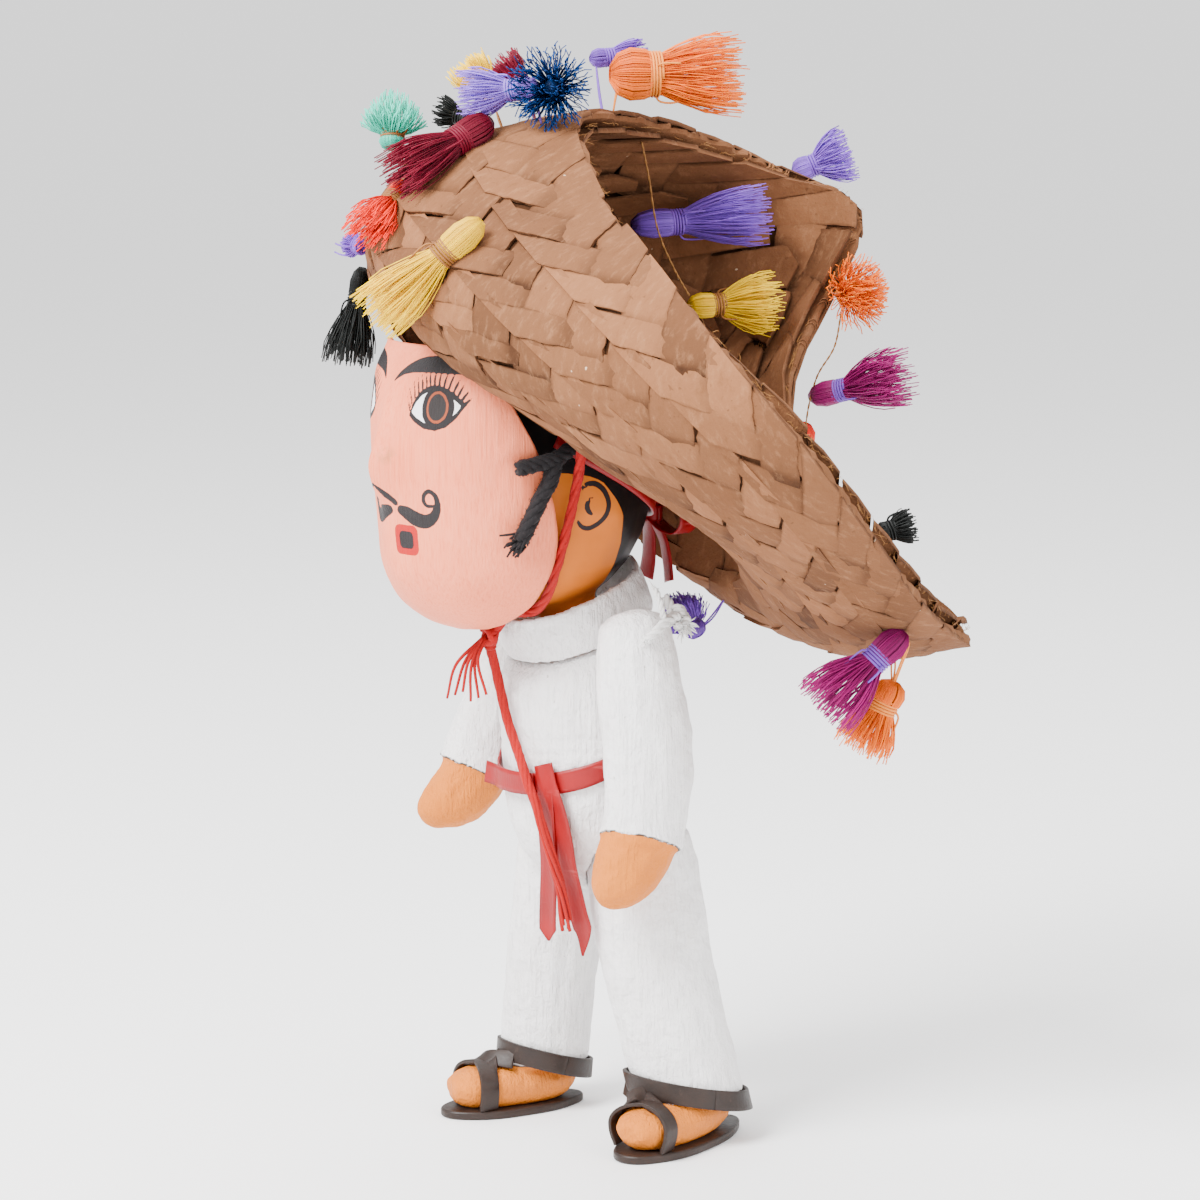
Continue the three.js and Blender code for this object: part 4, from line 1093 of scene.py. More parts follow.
def whip_stitches(heap, hat, seed):
    """Bark fibre whipped over the rim."""
    rng = np.random.default_rng(seed)
    turn_at, count = hat.row_turns(1.0, 7.6)
    for i in range(*(int(count * share) for share in STITCHED)):
        lean = 0.25 + 0.15 * rng.random()
        for strand in range(2):
            place = i + rng.normal(0, 0.05) + 0.13 * strand
            depth = 0.055 + 0.012 * rng.standard_normal()
            route = [(place, 1 - depth, 0.2), (place + lean * 0.4, 1 - depth * 0.5, -0.35),
                     (place + lean * 0.8, 0.999, -0.2), (place + lean, 1.002, 1.2),
                     (place + lean * 1.1, 0.999, 2.8), (place + lean * 1.3, 1 - depth * 0.5, 3.0),
                     (place + lean * 1.5, 1 - depth, 2.6)]
            path = np.array([hat.spot(turn_at(a), b, c) for a, b, c in route])
            heap.tube(path_of(path, 12), 0.30, 5, 0.8 + 0.2 * rng.random(), 0, 0.5)


def row_frays(heap, hat, rows, seed):
    """Fibres that stand from the cut edges of the strips."""
    rng = np.random.default_rng(seed)
    for inner, outer in rows:
        for _ in range(ROW_FIBRES):
            t, out = rng.random(), inner + (outer - inner) * (0.94 + 0.1 * rng.random())
            h = HAT_THICK + 1.3
            spread = rng.normal(0, 0.004)
            root = hat.spot(t, out, h)
            tip = hat.spot(t + spread, out + 0.012 * rng.random(), h + 1.1 * rng.random())
            fibre(heap, root, tip, rng.normal(0, 0.2, 3), 0.8)


BRIM_ROWS = [(0.30, 0.475), (0.475, 0.65), (0.65, 0.825), (0.825, 1.0)]
CROWN_ROWS = [(0.02, 0.10), (0.10, 0.20), (0.20, 0.30)]


def build_hat():
    """The hat: its body in painted shade, rows of plait on both faces, torn lip, folded rim and
    stitches.
    """
    hat = the_hat()
    heap = Heap()
    core_shell(heap, hat)
    for number, (inner, outer) in enumerate(BRIM_ROWS):
        plait_row(heap, hat, inner, outer, "outer", 40 + number)
        plait_row(heap, hat, inner, outer, "bowl", 60 + number)
    for number, (inner, outer) in enumerate(CROWN_ROWS):
        plait_row(heap, hat, inner, outer, "bowl", 80 + number)
    torn_lip(heap, hat, 5)
    rim_fold(heap, hat, 8)
    whip_stitches(heap, hat, 6)
    row_frays(heap, hat, BRIM_ROWS, 7)
    piece = heap.piece("plaited_hat", "bark", "bark_core", "tan_thread", outward=False)
    bpy.ops.object.shade_smooth_by_angle(angle=math.radians(40))
    settle(piece, "plaited_bark", "hat")


# Tassels

HATS = []


def the_hat():
    """The hat's surface, worked out once."""
    if not HATS:
        HATS.append(HatSurface())
    return HATS[0]


def hat_place(p):
    """A place given in the hat's own frame."""
    f, s, h = p
    return HAT_CENTRE + HAT_FORWARD * f + HAT_SIDE * s + HAT_AXIS * h


TASSEL_CORE = ((-0.06, 0.25, 0), (0.0, 0.62, 0), (0.10, 0.80, 0), (-0.06, 0.72, 1), (0.0, 0.60, 1),
               (0.08, 0.66, 1), (0.22, 0.40, 1))
WRAP_STEPS = 14


def round_about(side, up, a):
    """The direction at an angle round a tassel."""
    return math.cos(a) * side + math.sin(a) * up


def tassel_strand(head, way, side, up, length, neck, bloom, bind, round_bloom, rng):
    """One thread from the loop end over the binding to its cut end."""
    a = rng.random() * 2 * math.pi
    out = round_about(side, up, a)
    depth = math.sqrt(rng.random())
    reach = 0.80 + 0.22 * rng.random() if not round_bloom else 0.76 + 0.26 * rng.random()
    spread = bloom * depth * (0.92 + 0.16 * rng.random())
    out2 = round_about(side, up, a + rng.normal(0, 0.18))
    flare = [(-0.07, 0.30), (0.0, 0.80), (0.12, 0.98), (bind - 0.05, 0.86), (bind, 0.70)]
    path = [head + way * q * length + out * w * neck for q, w in flare]
    for q in (0.25, 0.5, 0.75, 1.0):
        level = bind + (reach - bind) * q
        bulge = math.sin(q * math.pi / 2) if not round_bloom else q ** 0.6
        wide = neck * 0.66 * (1 - bulge) + spread * bulge
        if round_bloom:
            level = bind + (reach * math.cos(depth * 1.2) - bind * 0.3) * q
        sway = rng.normal(0, 0.030 * bloom, 3) * q
        path.append(head + way * level * length + (out * (1 - q) + out2 * q) * wide + sway)
    return path_of(path, 10)


def build_tassel(name, strands, seed):
    """Folded thread bound near its head: a loop end, a few turns of binding and cut ends."""
    head, tip, neck, bloom, colour = TASSELS[name]
    rng = np.random.default_rng(seed)
    head, tip = hat_place(head), hat_place(tip)
    way = tip - head
    length = np.linalg.norm(way)
    way /= length
    side = unit(np.cross(way, (0.31, 0.24, 0.92)))
    up = np.cross(way, side)
    round_bloom = bloom > 0.5 * length
    bind = 0.30 if not round_bloom else 0.22
    heap = Heap()
    core = [[head + way * (level + past * bind) * length + round_about(side, up, a) * wide * neck
             for a in np.linspace(0, 2 * math.pi, 12, endpoint=False)]
            for level, wide, past in TASSEL_CORE]
    heap.rings(core, 0.25, 0)
    for _ in range(int(strands * (0.55 + 0.09 * neck + 0.02 * bloom) * (1.45 if round_bloom else 1))):
        path = tassel_strand(head, way, side, up, length, neck, bloom, bind, round_bloom, rng)
        thick = 0.165 + 0.05 * rng.random()
        fade = np.linspace(-0.28, 0.28, 10) + 0.52 + 0.22 * rng.standard_normal()
        heap.tube(path, thick, 3, np.repeat(np.clip(fade, 0, 1), 3), 0)
    wraps = 5 if neck > 3.2 else 4
    steps = wraps * WRAP_STEPS
    ring = [head + way * (bind - 0.02 + (k / steps - 0.5) * 0.9 * wraps / length) * length
            + round_about(side, up, 2 * math.pi * k / WRAP_STEPS) * (neck * 0.80 + 0.25)
            for k in range(steps + 1)]
    heap.tube(ring, 0.42, 5, 0.45, 1)
    for _ in range(2):
        out = round_about(side, up, rng.random() * 2 * math.pi)
        root = head + way * bind * length + out * neck * 0.85
        tail = [root, root + out * 1.4 + way * 1.0, root + out * 1.9 + way * (3 + 2 * rng.random()),
                root + out * (1.2 + rng.random()) + way * (6 + 2 * rng.random())]
        heap.tube(path_of(tail, 9), 0.32, 4, 0.5, 1)
    near = the_hat().points.reshape(-1, 3)
    near = near[np.argmin(np.linalg.norm(near - head, axis=1))]
    gap = np.linalg.norm(near - head)
    if gap > TIED_BEYOND and name not in CORD_TASSELS:
        for offset in (-0.35, 0.35):
            sag = (near + head) / 2 + side * offset * 2 - (0, 0, 0.06 * gap)
            heap.tube(path_of([head + way * 0.5 + up * offset, sag, near], 14), 0.3, 5, 0.5, 1)
    if name == "tassel_orange_tail":
        loop = [head - way * back + side * aside
                for back, aside in ((0.4, 0), (6, 0.8), (12, 1.6), (15.5, 3.0))]
        for offset in (-0.45, 0.45):
            heap.tube(path_of([p + up * offset for p in loop], 14), 0.34, 5, 0.5, 1)
    bound = BINDING.get(colour, colour)
    piece = heap.piece(name + "_threads", "silk_" + colour, "silk_" + bound, outward=False)
    bpy.ops.object.shade_smooth()
    return settle(piece, colour + "_thread", name)


# Yarns and threads


def build_chin_tail(diameter):
    """The yarn's hanging end: twisted above, opening into loose plies below."""
    route = path_of(CHIN_TAIL, 150)
    heap = Heap()
    rng = np.random.default_rng(3)
    _, side, up = frames_along(route)
    along = np.linspace(0, 1, len(route))
    loose = np.clip((along - 0.55) / 0.45, 0, 1)
    for k in range(6):
        a = 2 * math.pi * k / 6 + along * 2 * math.pi * 3.2 * (1 - 0.5 * loose)
        off = diameter / 2 * (0.56 + 0.42 * loose * (0.6 + 0.5 * rng.random()))
        off = off + 0.14 * loose * np.sin(along * (26 + 6 * k) + k)
        line = route + off[:, None] * (np.cos(a)[:, None] * side + np.sin(a)[:, None] * up)
        cut = len(route) if k % 2 == 0 else int(len(route) * (0.955 + 0.045 * rng.random()))
        heap.tube(line[:cut], diameter * (0.235 - 0.05 * loose[:cut]), 6, 0.3 + 0.5 * rng.random())
    fuzz(heap, route, diameter / 2, 70, 0.7, 11)
    piece = heap.piece("chin_yarn_tail", "red_yarn")
    settle(piece, "red_yarn", "chin_tail")


def build_thread(name, node, points):
    """A doubled tan thread that a tassel swings on."""
    route = path_of([hat_place(p) for p in points], 60)
    heap = Heap()
    plies(heap, route, 0.31, 2, 9, 6, 5)
    piece = heap.piece(name, "tan_thread")
    settle(piece, "tan_thread", node)


def build_chin_yarn():
    """Red yarn down each side of the head to the knot at the throat, with its short frayed end."""
    heap = Heap()
    for sign in (1, -1):
        route = path_of([(sign * x, y, z) for x, y, z in CHIN], 150)
        plies(heap, route, 1.5, 4, 3.5, 7, 20 + sign)
        fuzz(heap, route, 1.4, 60, 0.6, 30 + sign)
    knot = np.array(CHIN_KNOT)
    for k, (tilt, turn, size) in enumerate(((0.2, 0.0, 2.3), (1.0, 1.1, 2.2), (-0.8, 2.3, 2.1))):
        a = np.linspace(0, 2 * math.pi, 26)
        u = np.array([math.cos(turn), math.sin(turn) * math.cos(tilt), math.sin(tilt)])
        w = unit(np.cross(u, (0.2, 0.9, 0.3)))
        ring = knot + size * (np.cos(a)[:, None] * u + np.sin(a)[:, None] * w)
        heap.tube(ring, 1.15, 8, 0.4 + 0.2 * k)
    for drop, wide in ((2.4, 1.15), (3.4, 0.95)):
        a = np.linspace(0, 2 * math.pi, 22)
        turn = np.stack([np.cos(a), np.sin(a), 0.2 * np.sin(a)], 1)
        ring = knot + np.array([-0.5, 0.4, -drop]) + wide * turn
        heap.tube(ring, 0.95, 8, 0.45)
    rng = np.random.default_rng(8)
    for k in range(6):
        start = knot + np.array([-0.6, -1.6, -0.4]) + rng.normal(0, 0.3, 3)
        end = np.array([-9.5 + 2.9 * k, -38.5 + 1.1 * k, 134 + 1.3 * (k % 3)])
        bow = (start + end) / 2 + np.array([0, -1.6, 1.5]) + rng.normal(0, 0.5, 3)
        heap.tube(path_of([start, bow, end], 16), np.linspace(0.62, 0.42, 16), 6,
                  0.3 + 0.5 * rng.random())
    piece = heap.piece("chin_yarn_strands", "red_yarn")
    settle(piece, "red_yarn", "chin_yarn")


def on_head(start, way, off):
    """Where a ray from inside the head leaves it, the head being larger by off."""
    squash = 1 / np.array([HEAD["rx"] + off, HEAD["ry"] + off, HEAD["rz"] + off])
    a0 = (start - np.array([0, HEAD["y"], HEAD["z"]])) * squash
    run = way * squash
    a, b = run.dot(run), a0.dot(run)
    return start + way * ((-b + math.sqrt(b * b - a * (a0.dot(a0) - 1))) / a)


def ear_rise(p):
    """How far the ear stands out under a place on the head."""
    gap = (p[1] - EAR["y"]) ** 2 + (p[2] - EAR["z"]) ** 2
    return EAR["height"] * math.exp(-gap / EAR["spread"] ** 2)


def build_mask_tie():
    """Soft black yarn, several plies thick, round the back of the head and frayed at its end."""
    start = np.array([0, HEAD["y"], 211.5])
    back = [on_head(start, np.array([math.sin(a), math.cos(a), 0.02]), 4.9)
            for a in (1.75, 1.35, 0.9, 0.45, 0, -0.45, -0.9, -1.35, -1.75)]
    front = [np.array(p, float) for p in TIE_FRONT]
    far = [p * np.array([-1, 1, 1]) for p in front[::-1]]
    heap = Heap()
    route = path_of(front + back + far, 220)
    plies(heap, route, 2.3, 4, 9, 6, 41)
    fuzz(heap, route[:40], 2.2, 150, 1.2, 42, 0.07)
    end = path_of(TIE_END, 60)
    plies(heap, end, 2.4, 5, 1.3, 6, 43)
    fuzz(heap, end, 2.3, 190, 1.2, 44, 0.07)
    rng = np.random.default_rng(45)
    for _ in range(46):
        root = end[-1] + rng.normal(0, 1.0, 3)
        tip = root + np.array([-0.5, -0.8, -1.0]) * (0.8 + 2.0 * rng.random()) + rng.normal(0, 1.1, 3)
        heap.tube([root, (root + tip) / 2 + rng.normal(0, 0.3, 3), tip], [0.42, 0.40, 0.3], 5,
                  rng.random())
    piece = heap.piece("mask_tie_yarn", "black_yarn")
    settle(piece, "black_yarn", "mask_tie")


SHOULDER_RUN = [(39, 12.5, 161), (43, 8.5, 162), (46.8, 3.5, 160.9), (48.2, -0.6, 158.6),
                (48.2, -3.6, 156.2)]
SHOULDER_END = [(44.5, 6, 160), (46.4, 3.2, 162.4), (46.2, 2.4, 166), (44.2, 1.6, 170.5)]
COTTONS = {
    "left_shoulder_cotton": ((33.5, 12.8, 164), (42, 17, 153.6), 51),
    "right_shoulder_cotton": ((-33.5, 19.4, 163.6), (-42, 22.6, 153.2), 61),
}


def build_cotton(node):
    """The knotted end of the cotton string that holds an arm."""
    head, tip, seed = COTTONS[node]
    head, tip = np.array(head, float), np.array(tip, float)
    rng = np.random.default_rng(seed)
    way = unit(tip - head)
    side = unit(np.cross(way, (0, 0.3, 1)))
    up = np.cross(way, side)
    heap = Heap()
    for k in range(4):
        tilt = rng.normal(0, 0.5)
        centre = head + way * (3.4 + 1.1 * k) + rng.normal(0, 0.2, 3)
        a = np.linspace(0, 2 * math.pi * 0.96, 30)
        ring = centre + 2.0 * (np.cos(a)[:, None] * (side + way * tilt) + np.sin(a)[:, None] * up)
        plies(heap, ring, 1.15, 2, 3, 6, seed + k)
    cord_run = path_of([head - way * 2.5, head + way * 2, head + way * 5, head + way * 7.6], 30)
    plies(heap, cord_run, 1.5, 3, 2, 6, seed + 8)
    stub = path_of([head + way * 5, head + way * 5 + up * 3 + side * 0.6,
                    head + way * 3.6 + up * 7.4 + side * 1.2], 24)
    plies(heap, stub, 1.05, 2, 2.5, 6, seed + 9)
    for _ in range(46):
        root = head + way * 7.2 + rng.normal(0, 0.8, 3)
        out = unit(rng.normal(0, 1, 3) + way * 1.6)
        end = root + out * (2.2 + 3.2 * rng.random())
        heap.tube(path_of([root, (root + end) / 2 + rng.normal(0, 0.5, 3), end], 7),
                  [0.34, 0.32, 0.3, 0.28, 0.24, 0.18, 0.12], 4, 0.4 + 0.5 * rng.random())
    hand, shift = ((1, 1, 1), (0, 0, 0)) if head[0] > 0 else ((-1, 1, 1), (0, 6.6, -0.4))
    for points, radius in ((SHOULDER_RUN, 1.35), (SHOULDER_END, 0.95)):
        run = path_of([np.array(q) * np.array(hand) + shift for q in points], 40)
        plies(heap, run, radius, 3, 2.2, 6, seed + 12)
        fuzz(heap, run, radius, 50, 0.8, seed + 13)
        for _ in range(9):
            root = run[-1] + rng.normal(0, 0.4, 3)
            end = root + unit(run[-1] - run[-4]) * (1 + 1.5 * rng.random()) + rng.normal(0, 0.4, 3)
            heap.tube([root, (root + end) / 2, end], [0.24, 0.2, 0.1], 4, 0.8)
    piece = heap.piece(node + "_knot", "cotton")
    settle(piece, "white_cotton", node)


# Ribbon and leather

def build_sash():
    """A flat red strip round the waist, its curled end and two tails over it."""
    heap = Heap()
    turns = np.linspace(0, 2 * math.pi, 121)
    points, faces = [], []
    for a in turns:
        out = np.array([math.cos(a), math.sin(a), 0])
        stand = 1.0 * math.exp(-(((a - 1.45 * math.pi) / 0.4) ** 2)) + 0.12 * math.sin(9 * a)
        x, y = (27.2 + stand) * out[0], 0.4 + (21.8 + stand) * out[1]
        climb = 4.5 * math.tanh(max(y + 16, 0) / 16)
        points.append((x, y, 113.5 + 0.2 * y + climb + 0.25 * math.sin(5 * a)))
        faces.append(out)
    points[-1] = points[0]
    ribbon(heap, points, faces, 6.4 + 0.25 * np.sin(turns * 7), 0.55, 5, 0.4)
    curl = [(11.5, -20.9, 109.6), (3.5, -22.6, 109.2), (-4.8, -22.9, 109.1), (-10.4, -22.0, 109.3),
            (-14.4, -22.8, 109.7)]
    looks = [(0.25, -0.97, 0), (0.1, -1, 0), (-0.1, -1, 0), (-0.35, -0.95, 0), (-0.2, -0.98, 0.1)]
    ribbon(heap, path_of(curl, 40), path_of(looks, 40), 6.6, 0.5, 5, 0.6)
    for points, look, tip in ((SASH_UNDER, (0.3, -0.95, 0), 10), (SASH_OVER, (0.42, -0.9, 0), 12)):
        run = path_of(points, 70)
        widths = np.full(70, 6.5)
        widths[-tip:] = 6.5 * np.linspace(1, 0.06, tip)
        bend = 0.35 * np.sin(np.linspace(0, 9, 70))[:, None] * np.array(look)
        ribbon(heap, run + bend, np.tile(look, (70, 1)), widths, 0.5, 5, 0.5, curl=0.5)
    piece = heap.piece("sash_strips", "red_sheet")
    settle(piece, "red_ribbon", "sash")


def build_headband():
    """A red strip from temple to temple round the nape, and its folded bow."""
    heap = Heap()
    points, faces = [], []
    for a in np.linspace(-1.85, 1.85, 90):
        way = np.array([math.sin(a), math.cos(a), -0.55 * math.cos(a)])
        start = np.array([0, HEAD["y"], 210.7])
        p = on_head(start, way, 1.0 + ear_rise(on_head(start, way, 0)))
        points.append(p)
        faces.append(unit(np.array([p[0] / HEAD["rx"] ** 2, (p[1] - HEAD["y"]) / HEAD["ry"] ** 2,
                                    (p[2] - HEAD["z"]) / HEAD["rz"] ** 2])))
    ribbon(heap, points, faces, 8.2, 0.6, 5, 0.4)
    band = heap.piece("headband_strip", "red_sheet")
    settle(band, "red_ribbon", "headband")
    heap = Heap()
    for side in (1, -1):
        loop = [(0.6, 25.4, 187), (4, 27.6, 190.4), (9, 29.3, 192.2), (14, 30.4, 189.4),
                (15.4, 30.6, 185.4), (12.4, 29.8, 181.9), (7, 28.2, 182.2), (2.6, 26.6, 184.9),
                (0.6, 25.8, 186.6)]
        run = path_of([(side * x, y, z) for x, y, z in loop], 60)
        centre = np.array([side * 9, 29, 187])
        ribbon(heap, run, unit(run - centre), 6.0 + 1.6 * np.sin(np.linspace(0, math.pi, 60)), 0.5, 5,
               0.45)
        tail = path_of([(side * 1, 25.6, 186), (side * 4, 27.9, 179), (side * 5.5, 28.6, 172),
                        (side * 6.8, 28.4, 166.5)], 30)
        widths = 5.4 + 1.2 * np.linspace(0, 1, 30)
        ribbon(heap, tail, np.tile((0.1 * side, 1, 0.2), (30, 1)), widths, 0.5, 5, 0.5, curl=0.4)
    outs = [(math.cos(a), math.sin(a), 0) for a in np.linspace(0, 2 * math.pi, 25)]
    wrap = [(4.2 * x, 26.4 + 2.9 * y, 187) for x, y, _ in outs]
    ribbon(heap, wrap, outs, 4.6, 0.7, 5, 0.35)
    bow = heap.piece("headband_bow_strips", "red_sheet")
    settle(bow, "red_ribbon", "headband_bow")


FEET = {
    "left": {"foot": (33, 17, 9.3), "yaw": 0.42, "length": 57.0, "width": 24.0, "band": (15.4, 4.0),
             "cuff": (30, 22, 15, 14.5, 17.5), "above": (27.5, 20.4, 26)},
    "right": {"foot": (-27, -7, 9.3), "yaw": -0.04, "length": 48.0, "width": 22.0, "band": (15.4, 4.4),
              "cuff": (-25.5, 3.5, 15, 12.4, 14.2), "above": (-24.5, 4, 26)},
}
HEEL = 21.5
SOLE_THICK = 2.6
SOLE_SIDES = 72


STRAP_WIDE, STRAP_THICK = 6.0, 1.1
LACE_WIDE, LACE_THICK = 5.4, 1.0


def turned(side, point):
    """A place given in a foot's own frame."""
    yaw, foot = FEET[side]["yaw"], FEET[side]["foot"]
    x, y, z = point
    return np.array([foot[0] + x * math.cos(yaw) - y * math.sin(yaw),
                     foot[1] + x * math.sin(yaw) + y * math.cos(yaw), foot[2] + z])


def leather(heap, name, node):
    """A leather piece with its cut edges eased."""
    piece = heap.piece(name, "sandal_leather")
    apply_modifier(piece, "BEVEL", width=0.18 * MM, segments=2, limit_method="ANGLE",
                   angle_limit=math.radians(38))
    bpy.ops.object.shade_smooth_by_angle(angle=math.radians(42))
    settle(piece, "sandal_brown", node)


def build_sole(side):
    """The flat cut sole, wider at the toes."""
    foot = FEET[side]
    heap = Heap()
    rows = []
    for grow, z in ((-0.5, 0.0), (0.0, 0.45), (0.0, SOLE_THICK - 0.5), (-0.45, SOLE_THICK)):
        ring = []
        for k in range(SOLE_SIDES):
            a = 2 * math.pi * k / SOLE_SIDES
            x = (foot["width"] / 2 + grow) * math.sin(a) * (1 - 0.12 * math.cos(a))
            y = (foot["length"] / 2 + grow) * math.cos(a)
            ring.append(turned(side, (x + 0.15 * math.sin(7 * a), y, z - foot["foot"][2])))
        rows.append(ring)
    heap.rings(rows, 0.2)
    leather(heap, side + "_sole_card", side + "_sole")


def build_ankle_band(side):
    """The band round the ankle; gives its middle line and which way it faces."""
    foot = FEET[side]
    cx, cy, cz, rx, ry = foot["cuff"]
    axis = unit(np.array([cx, cy, cz], float) - np.array(foot["above"], float))
    points, faces = [], []
    for a in np.linspace(0, 2 * math.pi, 73):
        out = np.array([math.cos(a), math.sin(a), 0])
        z = foot["band"][0] - foot["band"][1] * out[1]
        middle = np.array([cx, cy, cz]) + axis * (z - cz) / axis[2]
        points.append(middle + np.array([(rx + 0.9) * out[0], (ry + 0.9) * out[1], 0]))
        faces.append(out - axis * out.dot(axis))
    heap = Heap()
    ribbon(heap, points, faces, STRAP_WIDE, STRAP_THICK, 5, 0.1)
    leather(heap, side + "_ankle_band", side + "_ankle_strap")
    return points, faces


def build_instep(side, band_line, band_faces):
    """The strap over the instep, from edge to edge of the sole, and two laces up to the band."""
    foot = FEET[side]
    cx, cy, _, _, ry = foot["cuff"]
    yaw, toe = foot["yaw"], foot["length"] / 2 - 1.5
    apex = np.array([cx, cy - ry - 6.6]) - np.array(foot["foot"][:2])
    front = -math.sin(yaw) * apex[0] + math.cos(yaw) * apex[1]
    points, faces = [], []
    for k in range(41):
        a = -0.5 + (k / 40) * (math.pi + 1)
        y = front - 2.5 * abs(math.cos(a))
        fall = math.sin(math.acos(((HEEL - toe) / 2 - y) / ((HEEL + toe) / 2))) ** 0.75
        wide = (foot["width"] / 2 - 0.6) * fall + 0.95
        if math.sin(a) > 0:
            place = (wide * math.cos(a), y, (6.4 * fall + 0.95) * math.sin(a))
        else:
            half = foot["width"] / 2 * math.sqrt(1 - (2 * y / foot["length"]) ** 2)
            wide -= max(wide + 0.8 - half, 0) * min(math.sin(a) ** 2 / 0.2, 1)
            place = (math.copysign(wide, math.cos(a)), y, 13.2 * math.sin(a))
        points.append(turned(side, place))
        faces.append(turned(side, (math.cos(a), 0, math.sin(a))) - turned(side, (0, 0, 0)))
    heap = Heap()
    ribbon(heap, points, faces, STRAP_WIDE, STRAP_THICK, 5, 0.1)
    for hand in (-1, 1):
        on_band, on_strap = 54 + 5 * hand, 20 + 7 * hand
        start = band_line[on_band] - (0, 0.5 + 0.3 * hand, 2.0)
        end = points[on_strap]
        look = unit(np.array([band_faces[on_band] + (0, 0, 0.4), (0, -0.7, 0.7), faces[on_strap]]))
        middle = (start + end) / 2 + (0, -1.3 - 0.35 * hand, 1.1 + 0.35 * hand)
        ribbon(heap, path_of([start, middle, end], 24), path_of(look, 24), LACE_WIDE, LACE_THICK, 5,
               0.1)
    leather(heap, side + "_instep_strap", side + "_toe_strap")


# Floor, light and camera

# The camera: what it looks at, its angles in degrees and its distance in metres
CAMERA = {"target": (3.75, 6.5, 162), "azimuth": 60, "elevation": 8, "distance": 1.2, "lens": 120}
LIT_PLACE = (3.75, 6.5, 190)


def facing(way):
    """The turn of a lamp or camera that looks along way."""
    return Vector(way).to_track_quat("-Z", "Y").to_euler()


def build_stage(light):
    """A pale floor, soft light from all sides with three large lamps, and the camera."""
    scene = bpy.context.scene
    clear_selection()
    bpy.ops.mesh.primitive_plane_add(size=60, location=(0, 0, 0))
    floor = bpy.context.object
    floor.name = "pale_floor"
    look = Look("pale_floor", roughness=0.9, specular_ior_level=0.0, base_color=(0.9, 0.9, 0.9, 1),
                emission_color=(1, 1, 1, 1), emission_strength=0.1 * light.world_strength)
    floor.data.materials.append(look.material)
    world = bpy.data.worlds.new("studio")
    world.use_nodes = True
    surroundings = world.node_tree.nodes["Background"].inputs
    surroundings["Color"].default_value = (1, 1, 1, 1)
    surroundings["Strength"].default_value = light.world_strength
    scene.world = world
    for name, place, size, power in (
            ("key_light", (0.25, -1.10, 1.25), 0.7, light.key_power),
            ("fill_light", (1.35, 0.55, 0.75), 1.1, light.fill_power),
            ("top_light", (-0.35, 0.2, 1.6), 1.2, light.top_power)):
        bpy.ops.object.light_add(type="AREA", location=place)
        lamp = bpy.context.object
        lamp.name = name
        lamp.data.size = size
        lamp.data.energy = power
        lamp.rotation_euler = facing(at(LIT_PLACE) - np.array(place))
    azimuth, elevation = (math.radians(CAMERA[key]) for key in ("azimuth", "elevation"))
    back = np.array([math.sin(azimuth) * math.cos(elevation), -math.cos(azimuth) * math.cos(elevation),
                     math.sin(elevation)])
    bpy.ops.object.camera_add(location=tuple(at(CAMERA["target"]) + back * CAMERA["distance"]))
    camera = bpy.context.object
    camera.name = "photo_camera"
    camera.rotation_euler = facing(-back)
    camera.data.sensor_width = 36
    camera.data.lens = CAMERA["lens"]
    camera.data.clip_end = 50
    scene.camera = camera


# Settings, operators and panel

class DancerSettings(bpy.types.PropertyGroup):
    """Sizes a user would change."""

    paper_voxel: FloatProperty(
        name="Paper mesh", description="Mesh size of the painted clothes, in millimetres",
        default=0.9, min=0.5, max=3.0)
    mask_rows: IntProperty(
        name="Mask rows", description="Rows of the mask's mesh from chin to forehead",
        default=156, min=40, max=220)
    strands: IntProperty(
        name="Strands", description="Threads in a tassel of middling size",
        default=200, min=20, max=400)
    yarn_diameter: FloatProperty(
        name="Chin yarn", description="Thickness of the red yarn, in millimetres",
        default=3.0, min=1.0, max=6.0)


def tint(name, note, red, green, blue):
    """A colour on the panel, from 0 to 1 in each of its three parts."""
    return FloatVectorProperty(name=name, description=note, subtype="COLOR", size=3, min=0.0, max=1.0,
                               default=(red, green, blue))


